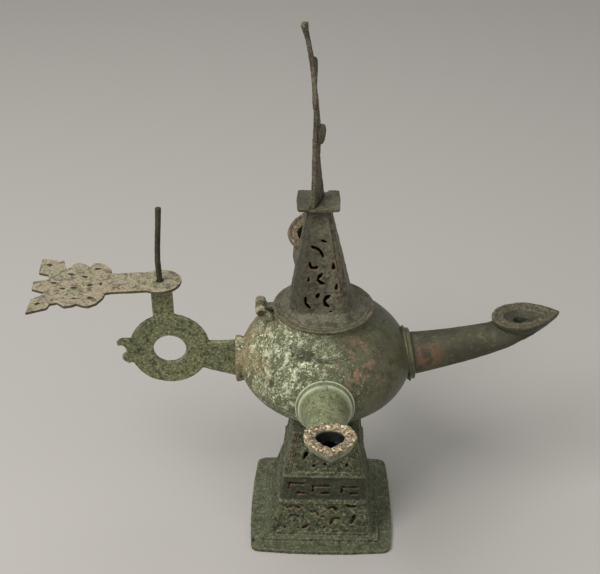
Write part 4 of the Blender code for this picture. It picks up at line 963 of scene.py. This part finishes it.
def stand_carving(points, normal):
    """Ribs on the stand's corner posts, worn scrolls on its panels and a frame line at its foot."""
    turn = Matrix.Rotation(math.radians(-STAND_TURN), 3, "Z")
    flat = points - (AXIS_X + STAND_SHIFT, AXIS_Y, 0)
    flat[:, 0] -= flat[:, 2] * math.tan(math.radians(STAND_LEAN))
    flat = flat @ np.array(turn).T
    height = flat[:, 2]
    out = np.maximum(abs(flat[:, 0]), abs(flat[:, 1]))
    across = np.minimum(abs(flat[:, 0]), abs(flat[:, 1]))
    skin = ease(1.6 * MM, 0.6 * MM, abs(out - np.interp(height, STAND_HEIGHTS, STAND_HALVES)))
    from_edge = out - across
    tiers = ease(5 * MM, 6 * MM, height) * ease(77 * MM, 70 * MM, height)
    upper = ease(43 * MM, 44.5 * MM, height) * ease(71 * MM, 69 * MM, height)
    ribs = sum(np.exp(-((from_edge - at * MM) / (RIB_HALF * MM)) ** 2) for at in RIBS)
    panel = ease(3.6 * MM, 4.6 * MM, from_edge) * tiers
    worms = 1 - np.minimum(1, abs(noise(points, 0.0046, 301)) * 3.2)
    worms += 0.6 * (1 - np.minimum(1, abs(noise(points, 0.0031, 307)) * 3.2))
    frame_line = sum(np.exp(-((height - at * MM) / (half * MM)) ** 2) for at, half in FRAME_LINES)
    carved = -0.32 * MM * ribs * (upper + 0.4 * tiers) + 0.30 * MM * (worms - 0.5) * panel * (1 - 0.6 * upper)
    carved += 0.25 * MM * frame_line * ease(2.5 * MM, 3.5 * MM, from_edge)
    window = sum(
        ease(low * MM, (low + 0.6) * MM, height) * ease(high * MM, (high - 0.6) * MM, height)
        for low, high in PANELS
    )
    worn = eaten_back(normal, turn, window, ease(3.2 * MM, 4.2 * MM, from_edge))
    base = ease(3.2 * MM, 2.2 * MM, height) * ease(0.0, 0.5 * MM, height)
    nick = np.linalg.norm(points - (AXIS_X, AXIS_Y, 0) - NICK_AT, axis=1)
    return carved * skin - worn - NICK_DEPTH * np.exp(-(nick / NICK_RADIUS) ** 2) * base


def lid_carving(points, normal):
    """Turned grooves on the lid's disc, and worn cuts round the spire's openings."""
    flat = points - (AXIS_X + COLLAR_SHIFT, AXIS_Y, COLLAR_TOP)
    out = np.hypot(flat[:, 0], flat[:, 1])
    disc = ease(6 * MM, 4.5 * MM, flat[:, 2]) * ease(1.0 * MM, 1.5 * MM, flat[:, 2])
    grooves = sum(np.exp(-((out - at * MM) / (0.30 * MM)) ** 2) for at in LID_GROOVES)
    spire = ease(8 * MM, 12 * MM, flat[:, 2])
    worms = 1 - np.minimum(1, abs(noise(points, 0.0042, 401)) * 3.0)
    turn = Matrix.Rotation(math.radians(-LID_TURN), 3, "Z")
    local = abs(flat @ np.array(turn).T)
    wide, narrow = np.maximum(local[:, 0], local[:, 1]), np.minimum(local[:, 0], local[:, 1])
    window = ease(9.5 * MM, 11 * MM, flat[:, 2]) * ease(59 * MM, 57 * MM, flat[:, 2])
    worn = eaten_back(normal, turn, window, ease(0.28, 0.38, (wide - narrow) / np.maximum(wide, MM)))
    return -0.35 * MM * grooves * disc + 0.20 * MM * (worms - 0.5) * spire - worn


# Castings: node, piece, finish, body, skin in mm, smoothing, most triangles, wear, seed, pits and carving
CASTS = (
    ("pedestal", "stand", "stand_patina", "lamp", 0.38, 1, 176000, 0.8, 31, 0.6, stand_carving),
    ("handle", "ring_handle", "handle_patina", "lamp", 0.36, 2, 70000, 1.0, 43, 0.9, None),
    ("thumb_plate", "pierced_plate", "plate_patina", "lamp", 0.36, 1, 70000, 0.9, 51, 0.6, None),
    ("wire_pin", "wire", "dark_patina", "lamp", 0.30, 2, 15000, 0.5, 61, 0.3, None),
    ("hinge_pin", "pin", "dark_patina", "lamp", 0.20, 2, 10000, 0.3, 63, 0.2, None),
    ("lid", "spire_lid", "lid_patina", "lid", 0.36, 1, 124000, 0.7, 71, 0.4, lid_carving),
    ("finial", "blade", "finial_patina", "lid", 0.32, 1, 50000, 0.9, 81, 0.8, None),
)


def make_cast(node, title, material, body, skin, smooth, most, amount, seed, pits, carving):
    """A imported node's own shape as a softened, carved and corroded casting."""
    obj = remesh(from_node(node, title), skin * MM, smooth)
    if carving:
        relief(obj, carving(coordinates(obj), normals(obj)))
    corrode(obj, amount, seed, pits)
    return piece(thin_out(obj, most), node, material, body)


# Scene

def make_floor():
    mesh = bpy.data.meshes.new("floor")
    half = FLOOR_HALF
    corners = [(-half, -half, 0), (half, -half, 0), (half, half, 0), (-half, half, 0)]
    mesh.from_pydata(corners, [], [(0, 1, 2, 3)])
    floor = make_object("floor", mesh)
    floor.data.materials.append(stage_material("floor_paint", FLOOR_COLOUR))


def make_lights():
    world = bpy.data.worlds.new("studio")
    world.use_nodes = True
    world.node_tree.nodes["Background"].inputs["Color"].default_value = WORLD_COLOUR
    world.node_tree.nodes["Background"].inputs["Strength"].default_value = WORLD_STRENGTH
    bpy.context.scene.world = world
    for name, place, size, power, colour in LIGHTS:
        light = bpy.data.lights.new(name, "AREA")
        light.size = size
        light.energy = power
        light.color = colour
        obj = make_object(name, light)
        obj.location = place
        obj.rotation_euler = (Vector(LOOK_AT) - Vector(place)).to_track_quat("-Z", "Y").to_euler()


def make_camera():
    data = bpy.data.cameras.new("camera")
    data.lens = CAMERA_LENS
    data.sensor_width = 36
    data.sensor_fit = "HORIZONTAL"
    camera = make_object("camera", data)
    camera.location = CAMERA_PLACE
    camera.rotation_euler = (math.radians(CAMERA_TILT), 0, math.radians(CAMERA_TURN))
    bpy.context.scene.camera = camera


def main():
    bpy.context.scene.view_settings.view_transform = "Standard"
    make_camera()
    make_floor()
    make_lights()
    make_bowl(bowl_patina())
    for name, crust, lumps in (("front", 1.0, 0.10), ("side", 0.30, 0.45), ("back", 0.5, 0.10)):
        make_nozzle(name, nozzle_patina(f"{name}_nozzle_patina", **NOZZLE_FINISHES[name]), crust, lumps)
    made = {name: plain_patina(name, **finish) for name, finish in FINISHES.items()}
    for node, title, finish, *rest in CASTS:
        make_cast(node, title, made[finish], *rest)


main()
